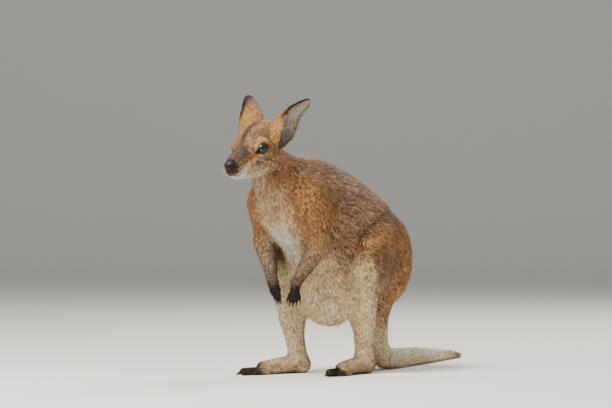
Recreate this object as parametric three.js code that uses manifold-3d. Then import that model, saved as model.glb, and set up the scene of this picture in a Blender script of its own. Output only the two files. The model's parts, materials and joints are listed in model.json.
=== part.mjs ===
// A red-necked wallaby, life size, standing on its hind feet and tail.
// Millimetres, +Z up. The animal faces -Y and its left side is +X.
// The flesh is one signed-distance field: ovals and tapered limbs that melt into
// each other. The field is turned into faceted meshes, which thin cuts part into
// the named pieces of the body. The outline is that of the coat, out to its tips.
import * as THREE from "three";
import { mergeVertices } from "three/addons/utils/BufferGeometryUtils.js";
import Module from "manifold-3d";

const wasm = await Module();
wasm.setup();

// ---------------------------------------------------------------- driving sizes

const CUT = 0.35; // the thin gap between neighbouring pieces
const EYE_RADIUS = 11.5;
const EAR = { length: 108, breadth: 27.5, bluntness: 0.42, wall: 3.6, rows: 6, columns: 6 };
const SIDES = { left: 1, right: -1 };

/** A point from how far it lies to the animal's left, how far forward and how high. */
const at = (left, forward, up) => new THREE.Vector3(left, -forward, up);

/** The point between the eyes, and how the muzzle points from there. */
const HEAD = { eyes: at(5, 292, 454), pitch: -26.5, yaw: 7, eyeSpread: 30 };

const JOINTS = {
  left: {
    shoulder: at(56, 165, 343),
    elbow: at(62, 146, 264),
    wrist: at(33, 186, 186),
    fingers: at(20, 180, 140),
    hip: at(48, -50, 285),
    knee: at(84, 30, 205),
    shin: at(64, 16, 110),
    ankle: at(57, 6, 34),
    heel: at(52, -10, 16),
    ball: at(73, 92, 13),
    toe: at(84, 146, 9),
  },
  right: {
    shoulder: at(-62, 174, 345),
    elbow: at(-74, 158, 264),
    wrist: at(-32, 184, 190),
    fingers: at(-19, 178, 144),
    hip: at(-48, -14, 280),
    knee: at(-78, 98, 200),
    shin: at(-66, 88, 110),
    ankle: at(-60, 78, 34),
    heel: at(-56, 66, 16),
    ball: at(-70, 170, 13),
    toe: at(-77, 226, 9),
  },
};

const EARS = {
  left: { root: at(24, 240, 484), tip: new THREE.Vector3(60, 40, 68), opens: new THREE.Vector3(0.75, 0, -0.62) },
  right: { root: at(-24, 246, 484), tip: new THREE.Vector3(-47, 36, 78), opens: new THREE.Vector3(-0.85, 0.35, -0.2) },
};

const TAIL = [
  { at: at(0, -52, 225), r: 50 },
  { at: at(0, -82, 160), r: 43 },
  { at: at(0, -90, 104), r: 30 },
  { at: at(-3, -100, 56), r: 25 },
  { at: at(-9, -128, 27), r: 23 },
  { at: at(-22, -175, 20), r: 21.5 },
  { at: at(-83, -329, 17.5), r: 19 },
  { at: at(-130, -440, 13.5), r: 15 },
  { at: at(-172, -545, 9), r: 10.5 },
  { at: at(-196, -606, 5.5), r: 6.5 },
];

// ---------------------------------------------------------------- the flesh field

/** A right-handed frame: +X along `forward`, +Z towards `up`, +Y to the left of both. */
function frameAt(origin, forward, up = new THREE.Vector3(0, 0, 1)) {
  const x = forward.clone().normalize();
  const y = up.clone().cross(x).normalize();
  const z = x.clone().cross(y);
  return new THREE.Matrix4().makeBasis(x, y, z).setPosition(origin);
}

/** The direction of something that points forward, raised by `pitch` and turned left by `yaw`. */
function heading(pitch, yaw = 0) {
  const [p, y] = [pitch, yaw].map(THREE.MathUtils.degToRad);
  return at(Math.cos(p) * Math.sin(y), Math.cos(p) * Math.cos(y), Math.sin(p));
}

/** An ellipsoid of half sizes along, across and deep in a frame's axes. */
function oval(frame, [along, across, deep]) {
  const inverse = frame.clone().invert();
  const q = new THREE.Vector3();
  return (p) => {
    q.copy(p).applyMatrix4(inverse);
    const [a, b, c] = [q.x / along, q.y / across, q.z / deep];
    const k0 = Math.hypot(a, b, c);
    const k1 = Math.hypot(a / along, b / across, c / deep);
    return k1 > 1e-9 ? (k0 * (k0 - 1)) / k1 : -Math.min(along, across, deep);
  };
}

/** A limb from `from` to `to` whose radius goes evenly from one to the other. `flat` narrows it along `side`. */
function limb(from, to, rFrom, rTo, flat = 1, side = new THREE.Vector3(1, 0, 0)) {
  const axis = to.clone().sub(from);
  const length2 = axis.lengthSq();
  const across = side.clone().addScaledVector(axis, -side.dot(axis) / length2).normalize();
  const q = new THREE.Vector3();
  return (p) => {
    q.copy(p).sub(from);
    const t = Math.min(1, Math.max(0, q.dot(axis) / length2));
    q.addScaledVector(axis, -t);
    q.addScaledVector(across, q.dot(across) * (1 / flat - 1));
    return (q.length() - (rFrom + (rTo - rFrom) * t)) * Math.min(1, flat);
  };
}

/** The smaller of two distances, melted together over a width of `blend`. */
function melt(a, b, blend) {
  const h = Math.max(blend - Math.abs(a - b), 0) / blend;
  return Math.min(a, b) - (h * h * blend) / 4;
}

class Flesh {
  parts = [];

  add(blend, ...distances) {
    for (const distance of distances) this.parts.push({ blend, distance });
    return this;
  }

  distance(p) {
    let d = 1e3;
    for (const part of this.parts) d = melt(d, part.distance(p), part.blend);
    return d;
  }
}

function trunkFlesh(flesh) {
  const level = (l, f, z, pitch) => frameAt(at(l, f, z), heading(pitch));
  flesh.add(
    40,
    oval(level(0, 142, 332, 50), [94, 68, 78]), // chest
    oval(level(0, 62, 318, 38), [112, 78, 100]), // ribs
    oval(level(0, -4, 282, 48), [112, 84, 100]), // loin and belly
    oval(level(0, -40, 266, 52), [92, 76, 88]), // rump
    oval(level(0, 72, 232, 60), [74, 74, 60]), // belly
  );
  flesh.add(26, oval(level(0, 48, 172, 10), [72, 66, 76])); // pouch
}

function neckFlesh(flesh) {
  flesh.add(30, limb(at(4, 242, 440), at(0, 184, 376), 36, 54, 0.95));
  flesh.add(30, limb(at(0, 200, 388), at(0, 100, 372), 46, 56, 0.95));
}

/** The head's own frame: +X out along the muzzle from between the eyes, +Y left, +Z up. */
const headFrame = frameAt(HEAD.eyes, heading(HEAD.pitch, HEAD.yaw));
const inHead = (along, left, up) => new THREE.Vector3(along, left, up).applyMatrix4(headFrame);
const headOval = (along, left, up, size) =>
  oval(headFrame.clone().setPosition(inHead(along, left, up)), size);

function headFlesh(flesh) {
  const across = new THREE.Vector3(0, 1, 0).transformDirection(headFrame);
  flesh.add(
    14,
    headOval(-40, 0, 2, [48, 35, 34]), // cranium
    limb(inHead(-12, 0, 0), inHead(46, 0, -6), 33, 18, 0.86, across), // face
    headOval(54, 0, -9, [27, 16, 19]), // muzzle
    limb(inHead(60, 0, -28), inHead(0, 0, -38), 10, 22, 0.9, across), // lower jaw
  );
  for (const s of [1, -1]) {
    flesh.add(
      10,
      headOval(-26, s * 18, -26, [34, 17, 28]), // jaw muscle
      headOval(2, s * 24, 8, [17, 9, 13]), // brow
      headOval(60, s * 6, -15, [16, 10, 11]), // upper lip
    );
  }
  flesh.add(6, headOval(74, 0, -2, [9, 11, 10])); // nose
}

function shoulderFlesh(flesh, side) {
  const j = JOINTS[side];
  flesh.add(26, oval(frameAt(j.shoulder, j.elbow.clone().sub(j.shoulder)), [50, 34, 40]));
  flesh.add(16, limb(j.shoulder, j.elbow, 34, 21));
}

const FINGERS = [-11, -6, 0, 6, 11]; // how far each lies across the palm

function armFlesh(flesh, side, s) {
  const j = JOINTS[side];
  shoulderFlesh(flesh, side);
  flesh.add(12, limb(j.elbow, j.wrist, 23, 10.5));
  const palm = j.wrist.clone().lerp(j.fingers, 0.42);
  flesh.add(8, limb(j.wrist, palm, 10.5, 12.5, 0.72, new THREE.Vector3(s * 0.3, 1, 0)));
  for (const finger of fingersOf(side, s)) flesh.add(2, limb(finger.root, finger.tip, 4.4, 3.4));
}

function fingersOf(side, s) {
  const j = JOINTS[side];
  const down = j.fingers.clone().sub(j.wrist);
  const across = new THREE.Vector3(s, -0.35, 0).normalize();
  return FINGERS.map((offset) => {
    const reach = 1 - 0.0016 * offset * offset;
    return {
      root: j.wrist.clone().addScaledVector(down, 0.45).addScaledVector(across, offset * 0.75),
      tip: j.wrist.clone().addScaledVector(down, 0.84 * reach).addScaledVector(across, offset * 1.15),
    };
  });
}

function thighFlesh(flesh, side, s) {
  const j = JOINTS[side];
  const along = j.knee.clone().sub(j.hip);
  const middle = j.hip.clone().lerp(j.knee, 0.42).add(at(s * 2, -4, -8));
  flesh.add(16, oval(frameAt(middle, along), [102, 42, 74])); // thigh
  flesh.add(20, oval(frameAt(j.hip.clone().add(at(s * 10, -24, -58)), at(0, 0.1, -1)), [86, 38, 54])); // buttock
  flesh.add(22, limb(j.knee, j.shin, 36, 24)); // calf
}

/** The toes: how far each starts and ends along the foot, how far outwards, and how thick it is. */
const TOES = [
  { name: "inner", start: 0.62, end: 0.84, out: -11, r: 5.5, claw: 11 },
  { name: "fourth", start: 0.7, end: 0.97, out: 0, r: 8.5, claw: 18 },
  { name: "fifth", start: 0.6, end: 0.82, out: 11.5, r: 6.5, claw: 13 },
];

function toesOf(side, s) {
  const j = JOINTS[side];
  const along = j.toe.clone().sub(j.heel).setZ(0);
  const out = new THREE.Vector3(-along.y, along.x, 0).normalize().multiplyScalar(s);
  return TOES.map((toe) => {
    const place = (t) => j.heel.clone().addScaledVector(along, t).addScaledVector(out, toe.out).setZ(toe.r - 1);
    return { ...toe, root: place(toe.start), tip: place(toe.end) };
  });
}

function legFlesh(flesh, side, s) {
  const j = JOINTS[side];
  thighFlesh(flesh, side, s);
  flesh.add(14, limb(j.shin, j.ankle, 24, 18)); // shank
  flesh.add(10, limb(j.ankle, j.heel, 18, 17)); // heel
  flesh.add(12, limb(j.ankle.clone().setZ(20), j.ball, 19, 14.5)); // foot
  for (const toe of toesOf(side, s)) flesh.add(4, limb(toe.root, toe.tip, toe.r + 1, toe.r));
}

function tailFlesh(flesh, lengths = TAIL.length) {
  for (let i = 1; i < lengths; i++) {
    flesh.add(i < 3 ? 26 : 3, limb(TAIL[i - 1].at, TAIL[i].at, TAIL[i - 1].r, TAIL[i].r));
  }
}

/** The trunk, neck and head with the limbs down to wrist and shin and the root of the tail, as one flesh. */
const core = new Flesh();
trunkFlesh(core);
neckFlesh(core);
headFlesh(core);
for (const [side, s] of Object.entries(SIDES)) {
  const j = JOINTS[side];
  shoulderFlesh(core, side);
  core.add(12, limb(j.elbow, j.wrist, 23, 10.5));
  thighFlesh(core, side, s);
  core.add(14, limb(j.shin, j.ankle, 24, 18));
}
tailFlesh(core, 4);

// ---------------------------------------------------------------- faceting the field

/** Opens every pinched corner of a sampled field, where two inside samples touch only across a square. */
function untangle(values, n, index) {
  const step = [[1, 0, 0], [0, 1, 0], [0, 0, 1]];
  for (let again = true; again; ) {
    again = false;
    for (let k = 0; k < n[2] - 1; k++)
      for (let j = 0; j < n[1] - 1; j++)
        for (let i = 0; i < n[0] - 1; i++)
          for (let axis = 0; axis < 3; axis++) {
            const [u, v] = [step[axis], step[(axis + 1) % 3]];
            const corners = [[0, 0], [1, 0], [1, 1], [0, 1]].map(([a, b]) =>
              index(i + a * u[0] + b * v[0], j + a * u[1] + b * v[1], k + a * u[2] + b * v[2]));
            const inside = corners.map((c) => values[c] < 0);
            if (inside[0] !== inside[2] || inside[1] !== inside[3] || inside[0] === inside[1]) continue;
            const [p, q] = inside[0] ? [corners[0], corners[2]] : [corners[1], corners[3]];
            values[values[p] > values[q] ? p : q] = 1e-2;
            again = true;
          }
  }
}

/** Moves a point that lies within `near` of the surface of a field onto that surface. */
function settle(field, p, near) {
  const q = new THREE.Vector3();
  const e = 0.5;
  for (let round = 0; round < 2; round++) {
    const d = field(p);
    if (Math.abs(d) > near) return p;
    const slope = [0, 1, 2].map((axis) => {
      q.copy(p).setComponent(axis, p.getComponent(axis) + e);
      return (field(q) - d) / e;
    });
    const steep = Math.max(0.3, slope[0] ** 2 + slope[1] ** 2 + slope[2] ** 2);
    p.sub(q.fromArray(slope).multiplyScalar(d / steep));
  }
  return p;
}

/** The surface of a field inside a box, as one closed mesh (surface nets) of cells about `cells` in size. */
function facet(field, low, high, cells) {
  const size = high.clone().sub(low);
  const n = size.toArray().map((s, axis) => Math.ceil(s / cells[axis]) + 1);
  const step = [size.x / (n[0] - 1), size.y / (n[1] - 1), size.z / (n[2] - 1)];
  const index = (i, j, k) => i + n[0] * (j + n[1] * k);
  const values = new Float32Array(n[0] * n[1] * n[2]);
  const p = new THREE.Vector3();
  for (let k = 0; k < n[2]; k++)
    for (let j = 0; j < n[1]; j++)
      for (let i = 0; i < n[0]; i++) {
        p.set(low.x + i * step[0], low.y + j * step[1], low.z + k * step[2]);
        const edge = [i, j, k].some((v, a) => v === 0 || v === n[a] - 1);
        values[index(i, j, k)] = edge ? cells[0] : field(p);
      }
  untangle(values, n, index);
  const vertexOf = new Map();
  const vertices = [];
  const vertex = (i, j, k) => {
    const key = index(i, j, k);
    if (vertexOf.has(key)) return vertexOf.get(key);
    const sum = [0, 0, 0];
    let count = 0;
    for (let corner = 0; corner < 8; corner++)
      for (let axis = 0; axis < 3; axis++) {
        if ((corner >> axis) & 1) continue;
        const a = [corner & 1, (corner >> 1) & 1, (corner >> 2) & 1];
        const b = [...a];
        b[axis] = 1;
        const va = values[index(i + a[0], j + a[1], k + a[2])];
        const vb = values[index(i + b[0], j + b[1], k + b[2])];
        if (va < 0 === vb < 0) continue;
        const t = va / (va - vb);
        for (let c = 0; c < 3; c++) sum[c] += a[c] + (b[c] - a[c]) * t;
        count++;
      }
    p.set(
      low.x + (i + sum[0] / count) * step[0],
      low.y + (j + sum[1] / count) * step[1],
      low.z + (k + sum[2] / count) * step[2],
    );
    vertices.push(...settle(field, p, Math.min(...step) * 0.5).toArray());
    vertexOf.set(key, vertices.length / 3 - 1);
    return vertices.length / 3 - 1;
  };
  const faces = [];
  const apart = (a, b) =>
    Math.hypot(...[0, 1, 2].map((c) => vertices[3 * a + c] - vertices[3 * b + c]));
  const quad = (a, b, c, d, flip) => {
    if (apart(a, c) > apart(b, d)) [a, b, c, d] = [b, c, d, a];
    faces.push(...(flip ? [a, c, b, a, d, c] : [a, b, c, a, c, d]));
  };
  for (let k = 0; k < n[2] - 1; k++)
    for (let j = 0; j < n[1] - 1; j++)
      for (let i = 0; i < n[0] - 1; i++) {
        const inside = values[index(i, j, k)] < 0;
        if (inside !== values[index(i + 1, j, k)] < 0)
          quad(vertex(i, j - 1, k - 1), vertex(i, j, k - 1), vertex(i, j, k), vertex(i, j - 1, k), !inside);
        if (inside !== values[index(i, j + 1, k)] < 0)
          quad(vertex(i - 1, j, k - 1), vertex(i - 1, j, k), vertex(i, j, k), vertex(i, j, k - 1), !inside);
        if (inside !== values[index(i, j, k + 1)] < 0)
          quad(vertex(i - 1, j - 1, k), vertex(i, j - 1, k), vertex(i, j, k), vertex(i - 1, j, k), !inside);
      }
  const geometry = new THREE.BufferGeometry();
  geometry.setAttribute("position", new THREE.BufferAttribute(new Float32Array(vertices), 3));
  geometry.setIndex(faces);
  return geometry;
}

/** A library shape with its seams closed. */
function sewn(geometry) {
  const bare = new THREE.BufferGeometry();
  bare.setAttribute("position", geometry.getAttribute("position"));
  bare.setIndex(geometry.getIndex());
  return mergeVertices(bare, 1e-4);
}

/** A closed geometry as a solid for joining and cutting. */
function solid(geometry) {
  return new wasm.Manifold(
    new wasm.Mesh({
      numProp: 3,
      vertProperties: new Float32Array(geometry.getAttribute("position").array),
      triVerts: new Uint32Array(geometry.getIndex().array),
    }),
  );
}

// ---------------------------------------------------------------- cutting tools

/** Every solid beyond the plane through `point`, on the side `normal` points to. */
function beyond(point, normal, gap = 0) {
  const reach = 1600;
  const box = new THREE.BoxGeometry(reach, reach, reach);
  const n = normal.clone().normalize();
  box.applyQuaternion(new THREE.Quaternion().setFromUnitVectors(new THREE.Vector3(1, 0, 0), n));
  const middle = point.clone().addScaledVector(n, reach / 2 - gap);
  box.translate(middle.x, middle.y, middle.z);
  return solid(sewn(box));
}

/** A closed egg-shaped solid in a frame, used to cut a limb from the body in a round line. */
function egg(frame, [along, across, deep], gap = 0, around = 12, levels = 8) {
  const ball = new THREE.SphereGeometry(1, around, levels);
  ball.scale(along + gap, across + gap, deep + gap);
  ball.applyMatrix4(frame);
  return solid(sewn(ball));
}

const UNDER = beyond(new THREE.Vector3(0, 0, 0), new THREE.Vector3(0, 0, -1));
const headCut = { point: at(0, 234, 432), normal: at(0, 0.82, 0.57) };
const neckCut = { point: at(0, 176, 384), normal: at(0, 0.62, 0.78) };
const tailCut = { point: at(0, -78, 178), normal: at(0, -0.3, -0.95) };
const tailMiddleCut = { point: TAIL[5].at, normal: TAIL[6].at.clone().sub(TAIL[5].at) };
const cut = ({ point, normal }, gap = 0) => beyond(point, normal, gap);

/** The plane across the elbow, facing down the arm. */
function elbowCut(side) {
  const { shoulder, elbow, wrist } = JOINTS[side];
  const down = elbow.clone().sub(shoulder).normalize().add(wrist.clone().sub(elbow).normalize());
  return { point: elbow, normal: down };
}

const back = ({ point, normal }) => ({ point, normal: normal.clone().negate() });
const kneeCut = { point: at(0, 0, 131), normal: at(0, 0, -1) };

/** What is parted from the trunk as an upper arm. */
function upperArmRegion(side, s, gap = 0) {
  const j = JOINTS[side];
  const middle = j.shoulder.clone().lerp(j.elbow, 0.66).add(at(s * 20, 2, 0));
  return egg(frameAt(middle, j.elbow.clone().sub(j.shoulder)), [80, 34, 50], gap)
    .intersect(cut(back(elbowCut(side)), gap));
}

/** What is parted from the trunk as a forearm. */
function forearmRegion(side, s, gap = 0) {
  const j = JOINTS[side];
  const middle = j.elbow.clone().lerp(j.wrist, 0.4).add(at(s * 5, 6, 0));
  return egg(frameAt(middle, j.wrist.clone().sub(j.elbow)), [84, 32, 36], gap)
    .intersect(cut(elbowCut(side), gap));
}

/** What is parted from the trunk as a thigh, down to the middle of the calf. */
function thighRegion(side, s, gap = 0) {
  const j = JOINTS[side];
  const middle = j.hip.clone().lerp(j.knee, 0.45).add(at(s * 30, -6, -48));
  return egg(frameAt(middle, at(0, 0.35, -0.94)), [150, 84, 114], gap)
    .intersect(beyond(at(s * 38, 0, 0), at(s, 0, 0), gap))
    .intersect(cut(back(kneeCut), gap));
}

/** What is parted from the trunk as a shank. */
function shankRegion(side, s, gap = 0) {
  return egg(new THREE.Matrix4().setPosition(JOINTS[side].shin), [46, 50, 120], gap)
    .intersect(beyond(at(s * 36, 0, 0), at(s, 0, 0), gap))
    .intersect(cut(kneeCut, gap));
}

/** What is parted from the rump as the root of the tail. */
function tailRootRegion(gap = 0) {
  return egg(new THREE.Matrix4().setPosition(at(0, -90, 120)), [47, 62, 96], gap).intersect(cut(tailCut, gap));
}

const wristCut = (side) => {
  const j = JOINTS[side];
  return { point: j.wrist.clone(), normal: j.fingers.clone().sub(j.wrist) };
};
const ankleCut = (side) => ({ point: JOINTS[side].ankle.clone().add(at(0, 0, 10)), normal: at(0, 0.15, -1) });

// ---------------------------------------------------------------- the pieces

const COLOURS = {
  back: "#8d7a68", neck: "#a5794f", head: "#8f7560", nose: "#1d1b1b", eye: "#17100c",
  ear: "#9a7656", arm: "#94765a", hand: "#3c3836", thigh: "#a06f47", shank: "#b5a48f",
  foot: "#9c9083", claw: "#2b2827", tail: "#b0a597",
};

const group = new THREE.Group();

/** Adds one named piece of the body from its solid. */
function node(name, made, color, roughness = 0.92) {
  const mesh = made.getMesh();
  const geometry = new THREE.BufferGeometry();
  geometry.setAttribute("position", new THREE.BufferAttribute(mesh.vertProperties, 3));
  geometry.setIndex(new THREE.BufferAttribute(mesh.triVerts, 1));
  geometry.computeVertexNormals();
  const piece = new THREE.Mesh(
    geometry,
    new THREE.MeshStandardMaterial({ color, roughness, metalness: 0 }),
  );
  piece.name = name;
  group.add(piece);
}

/** The solid of a flesh between two corners given as left, forward and up. */
function lump(flesh, from, to, cells) {
  const box = new THREE.Box3().setFromPoints([at(...from), at(...to)]);
  return solid(facet((p) => flesh.distance(p), box.min, box.max, cells));
}

/** A length of tail with a flat end at its start: rings of a given radius about a bent line. */
function sleeve(stations, spokes) {
  const line = new THREE.CatmullRomCurve3(stations.map((s) => s.at));
  const rings = (stations.length - 1) * 2;
  const positions = [];
  for (let ring = 0; ring <= rings; ring++) {
    const t = ring / rings;
    const [k, part] = [Math.min(Math.floor(ring / 2), stations.length - 2), ring / 2];
    const radius = THREE.MathUtils.lerp(stations[k].r, stations[k + 1].r, part - k);
    const along = line.getTangent(t);
    const across = new THREE.Vector3(0, 0, 1).cross(along).normalize();
    const up = along.clone().cross(across);
    const middle = line.getPoint(t);
    if (ring === 0) middle.addScaledVector(along, CUT);
    for (let spoke = 0; spoke < spokes; spoke++) {
      const angle = ((spoke + 0.5) / spokes) * 2 * Math.PI;
      const p = middle.clone().addScaledVector(across, radius * Math.sin(angle)).addScaledVector(up, radius * Math.cos(angle));
      positions.push(p.x, p.y, p.z);
    }
  }
  const first = line.getPoint(0).addScaledVector(line.getTangent(0), CUT);
  const last = line.getPoint(1);
  positions.push(first.x, first.y, first.z, last.x, last.y, last.z);
  const [start, end] = [spokes * (rings + 1), spokes * (rings + 1) + 1];
  const faces = [];
  for (let spoke = 0; spoke < spokes; spoke++) {
    const next = (spoke + 1) % spokes;
    for (let ring = 0; ring < rings; ring++) {
      const [a, b] = [ring * spokes + spoke, ring * spokes + next];
      faces.push(a, a + spokes, b, b, a + spokes, b + spokes);
    }
    faces.push(start, spoke, next, end, rings * spokes + next, rings * spokes + spoke);
  }
  const geometry = new THREE.BufferGeometry();
  geometry.setAttribute("position", new THREE.BufferAttribute(new Float32Array(positions), 3));
  geometry.setIndex(faces);
  return solid(geometry);
}

/** A rolled leaf: a tube at its root that opens into a pointed cup. */
function earLeaf({ root, tip, opens }, grow = 0) {
  const { length, breadth, bluntness, wall, rows, columns } = EAR;
  const axis = tip.clone().normalize();
  const mouth = opens.clone().addScaledVector(axis, -opens.dot(axis)).normalize();
  const side = axis.clone().cross(mouth);
  const point = (row, column, inner) => {
    const t = row / rows;
    const radius = Math.max(0.4, breadth * Math.sin(Math.PI * (0.16 + 0.84 * t) ** 0.9) ** bluntness * (1 - 0.12 * t));
    const spread = THREE.MathUtils.lerp(2.5, 1.15, Math.min(1, t * 1.7));
    const angle = ((column / columns) * 2 - 1) * spread;
    const rim = Math.max(0.12, 1 - Math.abs((column / columns) * 2 - 1) ** 4);
    const r = radius - (inner ? Math.min(wall * rim, radius * 0.8) : -grow);
    const lean = 7 * Math.sin(Math.PI * t);
    return root.clone()
      .addScaledVector(axis, t * length - 12)
      .addScaledVector(side, r * Math.sin(angle))
      .addScaledVector(mouth, radius * 0.55 - r * Math.cos(angle) - lean);
  };
  const positions = [];
  const add = (p) => positions.push(p.x, p.y, p.z) / 3 - 1;
  const sheet = (inner) =>
    Array.from({ length: rows + 1 }, (_, r) =>
      Array.from({ length: columns + 1 }, (_, c) => add(point(r, c, inner))));
  const [outer, inner] = [sheet(false), sheet(true)];
  const faces = [];
  const quad = (a, b, c, d) => faces.push(a, c, b, a, d, c);
  for (let r = 0; r < rows; r++)
    for (let c = 0; c < columns; c++) {
      quad(outer[r][c], outer[r][c + 1], outer[r + 1][c + 1], outer[r + 1][c]);
      quad(inner[r][c], inner[r + 1][c], inner[r + 1][c + 1], inner[r][c + 1]);
    }
  for (let r = 0; r < rows; r++) {
    quad(outer[r][0], outer[r + 1][0], inner[r + 1][0], inner[r][0]);
    quad(outer[r][columns], inner[r][columns], inner[r + 1][columns], outer[r + 1][columns]);
  }
  for (let c = 0; c < columns; c++) {
    quad(outer[0][c], inner[0][c], inner[0][c + 1], outer[0][c + 1]);
    quad(outer[rows][c], outer[rows][c + 1], inner[rows][c + 1], inner[rows][c]);
  }
  const geometry = new THREE.BufferGeometry();
  geometry.setAttribute("position", new THREE.BufferAttribute(new Float32Array(positions), 3));
  geometry.setIndex(faces);
  return solid(geometry);
}

/** A pointed claw from `root` along `direction`; a socket for it is the same claw with room all round. */
function claw(root, direction, length, radius, room = 0) {
  const cone = new THREE.ConeGeometry(radius * (1 + 0.06 * Math.sign(room)) + room, length + 6 * room, 6);
  cone.translate(0, length / 2, 0);
  cone.applyQuaternion(
    new THREE.Quaternion().setFromUnitVectors(new THREE.Vector3(0, 1, 0), direction.clone().normalize()),
  );
  cone.translate(root.x, root.y, root.z);
  return solid(sewn(cone));
}

// Head, with its eyes set in pockets, the nose pad and the ears.
const eyeAt = (s) => inHead(-1, s * HEAD.eyeSpread, -1);
const noseFrame = headFrame.clone().setPosition(inHead(80, 0, 2));
const headWhole = lump(core, [-62, 205, 372], [72, 386, 524], [12.6, 13, 12.6]).intersect(cut(headCut));
let head = headWhole.subtract(egg(noseFrame, [16, 14, 12], CUT, 8, 6));
node("nose", headWhole.intersect(egg(noseFrame, [16, 14, 12], 0, 8, 6)), COLOURS.nose, 0.45);
for (const [side, s] of Object.entries(SIDES)) {
  const eyeFrame = new THREE.Matrix4().setPosition(eyeAt(s));
  const r = EYE_RADIUS;
  head = head.subtract(egg(eyeFrame, [r, r, r], CUT, 10, 7));
  node(`eye_${side}`, egg(eyeFrame, [r, r, r], 0, 10, 7), COLOURS.eye, 0.08);
}
for (const side of Object.keys(SIDES)) {
  const leaf = earLeaf(EARS[side]);
  node(`ear_${side}`, leaf, COLOURS.ear);
  head = head.subtract(earLeaf(EARS[side], CUT));
}
node("head", head, COLOURS.head);

const torso = lump(core, [-136, -156, 84], [136, 290, 500], [30, 31, 30]);
const neck = torso
  .subtract(cut(headCut, CUT))
  .intersect(cut(neckCut));
node("neck", neck, COLOURS.neck);

// The trunk is what is left when head, neck, limbs and tail are cut away.
let trunk = torso
  .subtract(cut(neckCut, CUT))
  .subtract(tailRootRegion(CUT));

for (const [side, s] of Object.entries(SIDES)) {
  const j = JOINTS[side];
  const arm = new Flesh();
  armFlesh(arm, side, s);
  const leg = new Flesh();
  legFlesh(leg, side, s);
  for (const region of [upperArmRegion, forearmRegion, thighRegion, shankRegion]) {
    trunk = trunk.subtract(region(side, s, CUT));
  }

  const upperArm = torso.intersect(upperArmRegion(side, s));
  node(`upper_arm_${side}`, upperArm.subtract(cut(neckCut, CUT)), COLOURS.arm);
  const lowerArm = lump(arm, [s * 4, 100, 170], [s * 124, 240, 300], [11, 11, 17]).intersect(forearmRegion(side, s, -CUT));
  node(`forearm_${side}`, lowerArm.subtract(cut(wristCut(side), CUT)), COLOURS.arm);
  let hand = lump(arm, [s * -6, 150, 134], [s * 62, 212, 200], [5.1, 5.3, 9]).intersect(cut(wristCut(side)));
  fingersOf(side, s).forEach((finger, i) => {
    const down = finger.tip.clone().sub(finger.root).add(at(0, 2, 0)).normalize();
    const root = finger.tip.clone().addScaledVector(down, 0.5);
    const made = claw(root, down, 9, 2.2);
    hand = hand.subtract(claw(root, down, 9, 2.2, 0.6));
    node(`claw_hand_${side}_${i + 1}`, made, COLOURS.claw, 0.4);
  });
  node(`hand_${side}`, hand, COLOURS.hand);

  node(`thigh_${side}`, torso.intersect(thighRegion(side, s)).subtract(tailRootRegion(CUT)), COLOURS.thigh);
  const shank = lump(leg, [s * 24, -90, 24], [s * 124, 150, 180], [14, 14, 22])
    .intersect(cut(kneeCut, -CUT))
    .subtract(cut(ankleCut(side), CUT));
  node(`shank_${side}`, shank, COLOURS.shank);
  let foot = lump(leg, [s * 20, -60, -12], [s * 120, 260, 60], [7.9, 17, 7.9]).intersect(cut(ankleCut(side)));
  foot = foot.subtract(UNDER);
  for (const toe of toesOf(side, s)) {
    const ahead = toe.tip.clone().sub(toe.root).normalize();
    const root = toe.tip.clone().addScaledVector(ahead, toe.r - 6).setZ(toe.r * 0.8);
    const tip = at(0, 0, 0).copy(ahead).multiplyScalar(toe.claw).setZ(-toe.r * 0.5);
    foot = foot.subtract(claw(root, tip, toe.claw, toe.r * 0.6, 0.6));
    node(`claw_foot_${side}_${toe.name}`, claw(root, tip, toe.claw, toe.r * 0.6).subtract(UNDER), COLOURS.claw, 0.4);
  }
  node(`foot_${side}`, foot, COLOURS.foot);
}
node("trunk", trunk, COLOURS.back);

// The tail in three lengths.
const tail = new Flesh();
tailFlesh(tail);
const tailBase = lump(tail, [-60, -230, -10], [60, -20, 210], [20, 22, 26])
  .intersect(tailRootRegion().add(beyond(at(0, 0, 104), at(0, 0, -1))))
  .intersect(cut(tailCut).intersect(beyond(tailMiddleCut.point, tailMiddleCut.normal.clone().negate(), -CUT)));
node("tail_base", tailBase.subtract(UNDER), COLOURS.tail);
const tailMiddle = sleeve(TAIL.slice(5, 8), 10);
node("tail_middle", tailMiddle.subtract(UNDER), COLOURS.tail);
node("tail_tip", sleeve(TAIL.slice(7), 9).subtract(UNDER), COLOURS.tail);

// The model stands centred over its own footprint.
const box = new THREE.Box3().setFromObject(group);
const middle = box.getCenter(new THREE.Vector3()).setZ(box.min.z);
for (const piece of group.children) piece.geometry.translate(-middle.x, -middle.y, -middle.z);

export default group;
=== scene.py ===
"""A red-necked wallaby, life size, standing still on its hind feet and tail.

The body is one distance field of ovals and tapered limbs that melt into each other, in millimetres on
the animal's own axes. The skin is its surface, drawn in by the depth of the coat, and the coat is mesh
tufts rooted on the skin. Every finished piece is in metres in the frame of the CAD.
"""

import json
import logging
import math
from dataclasses import dataclass, field
from enum import Enum

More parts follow.
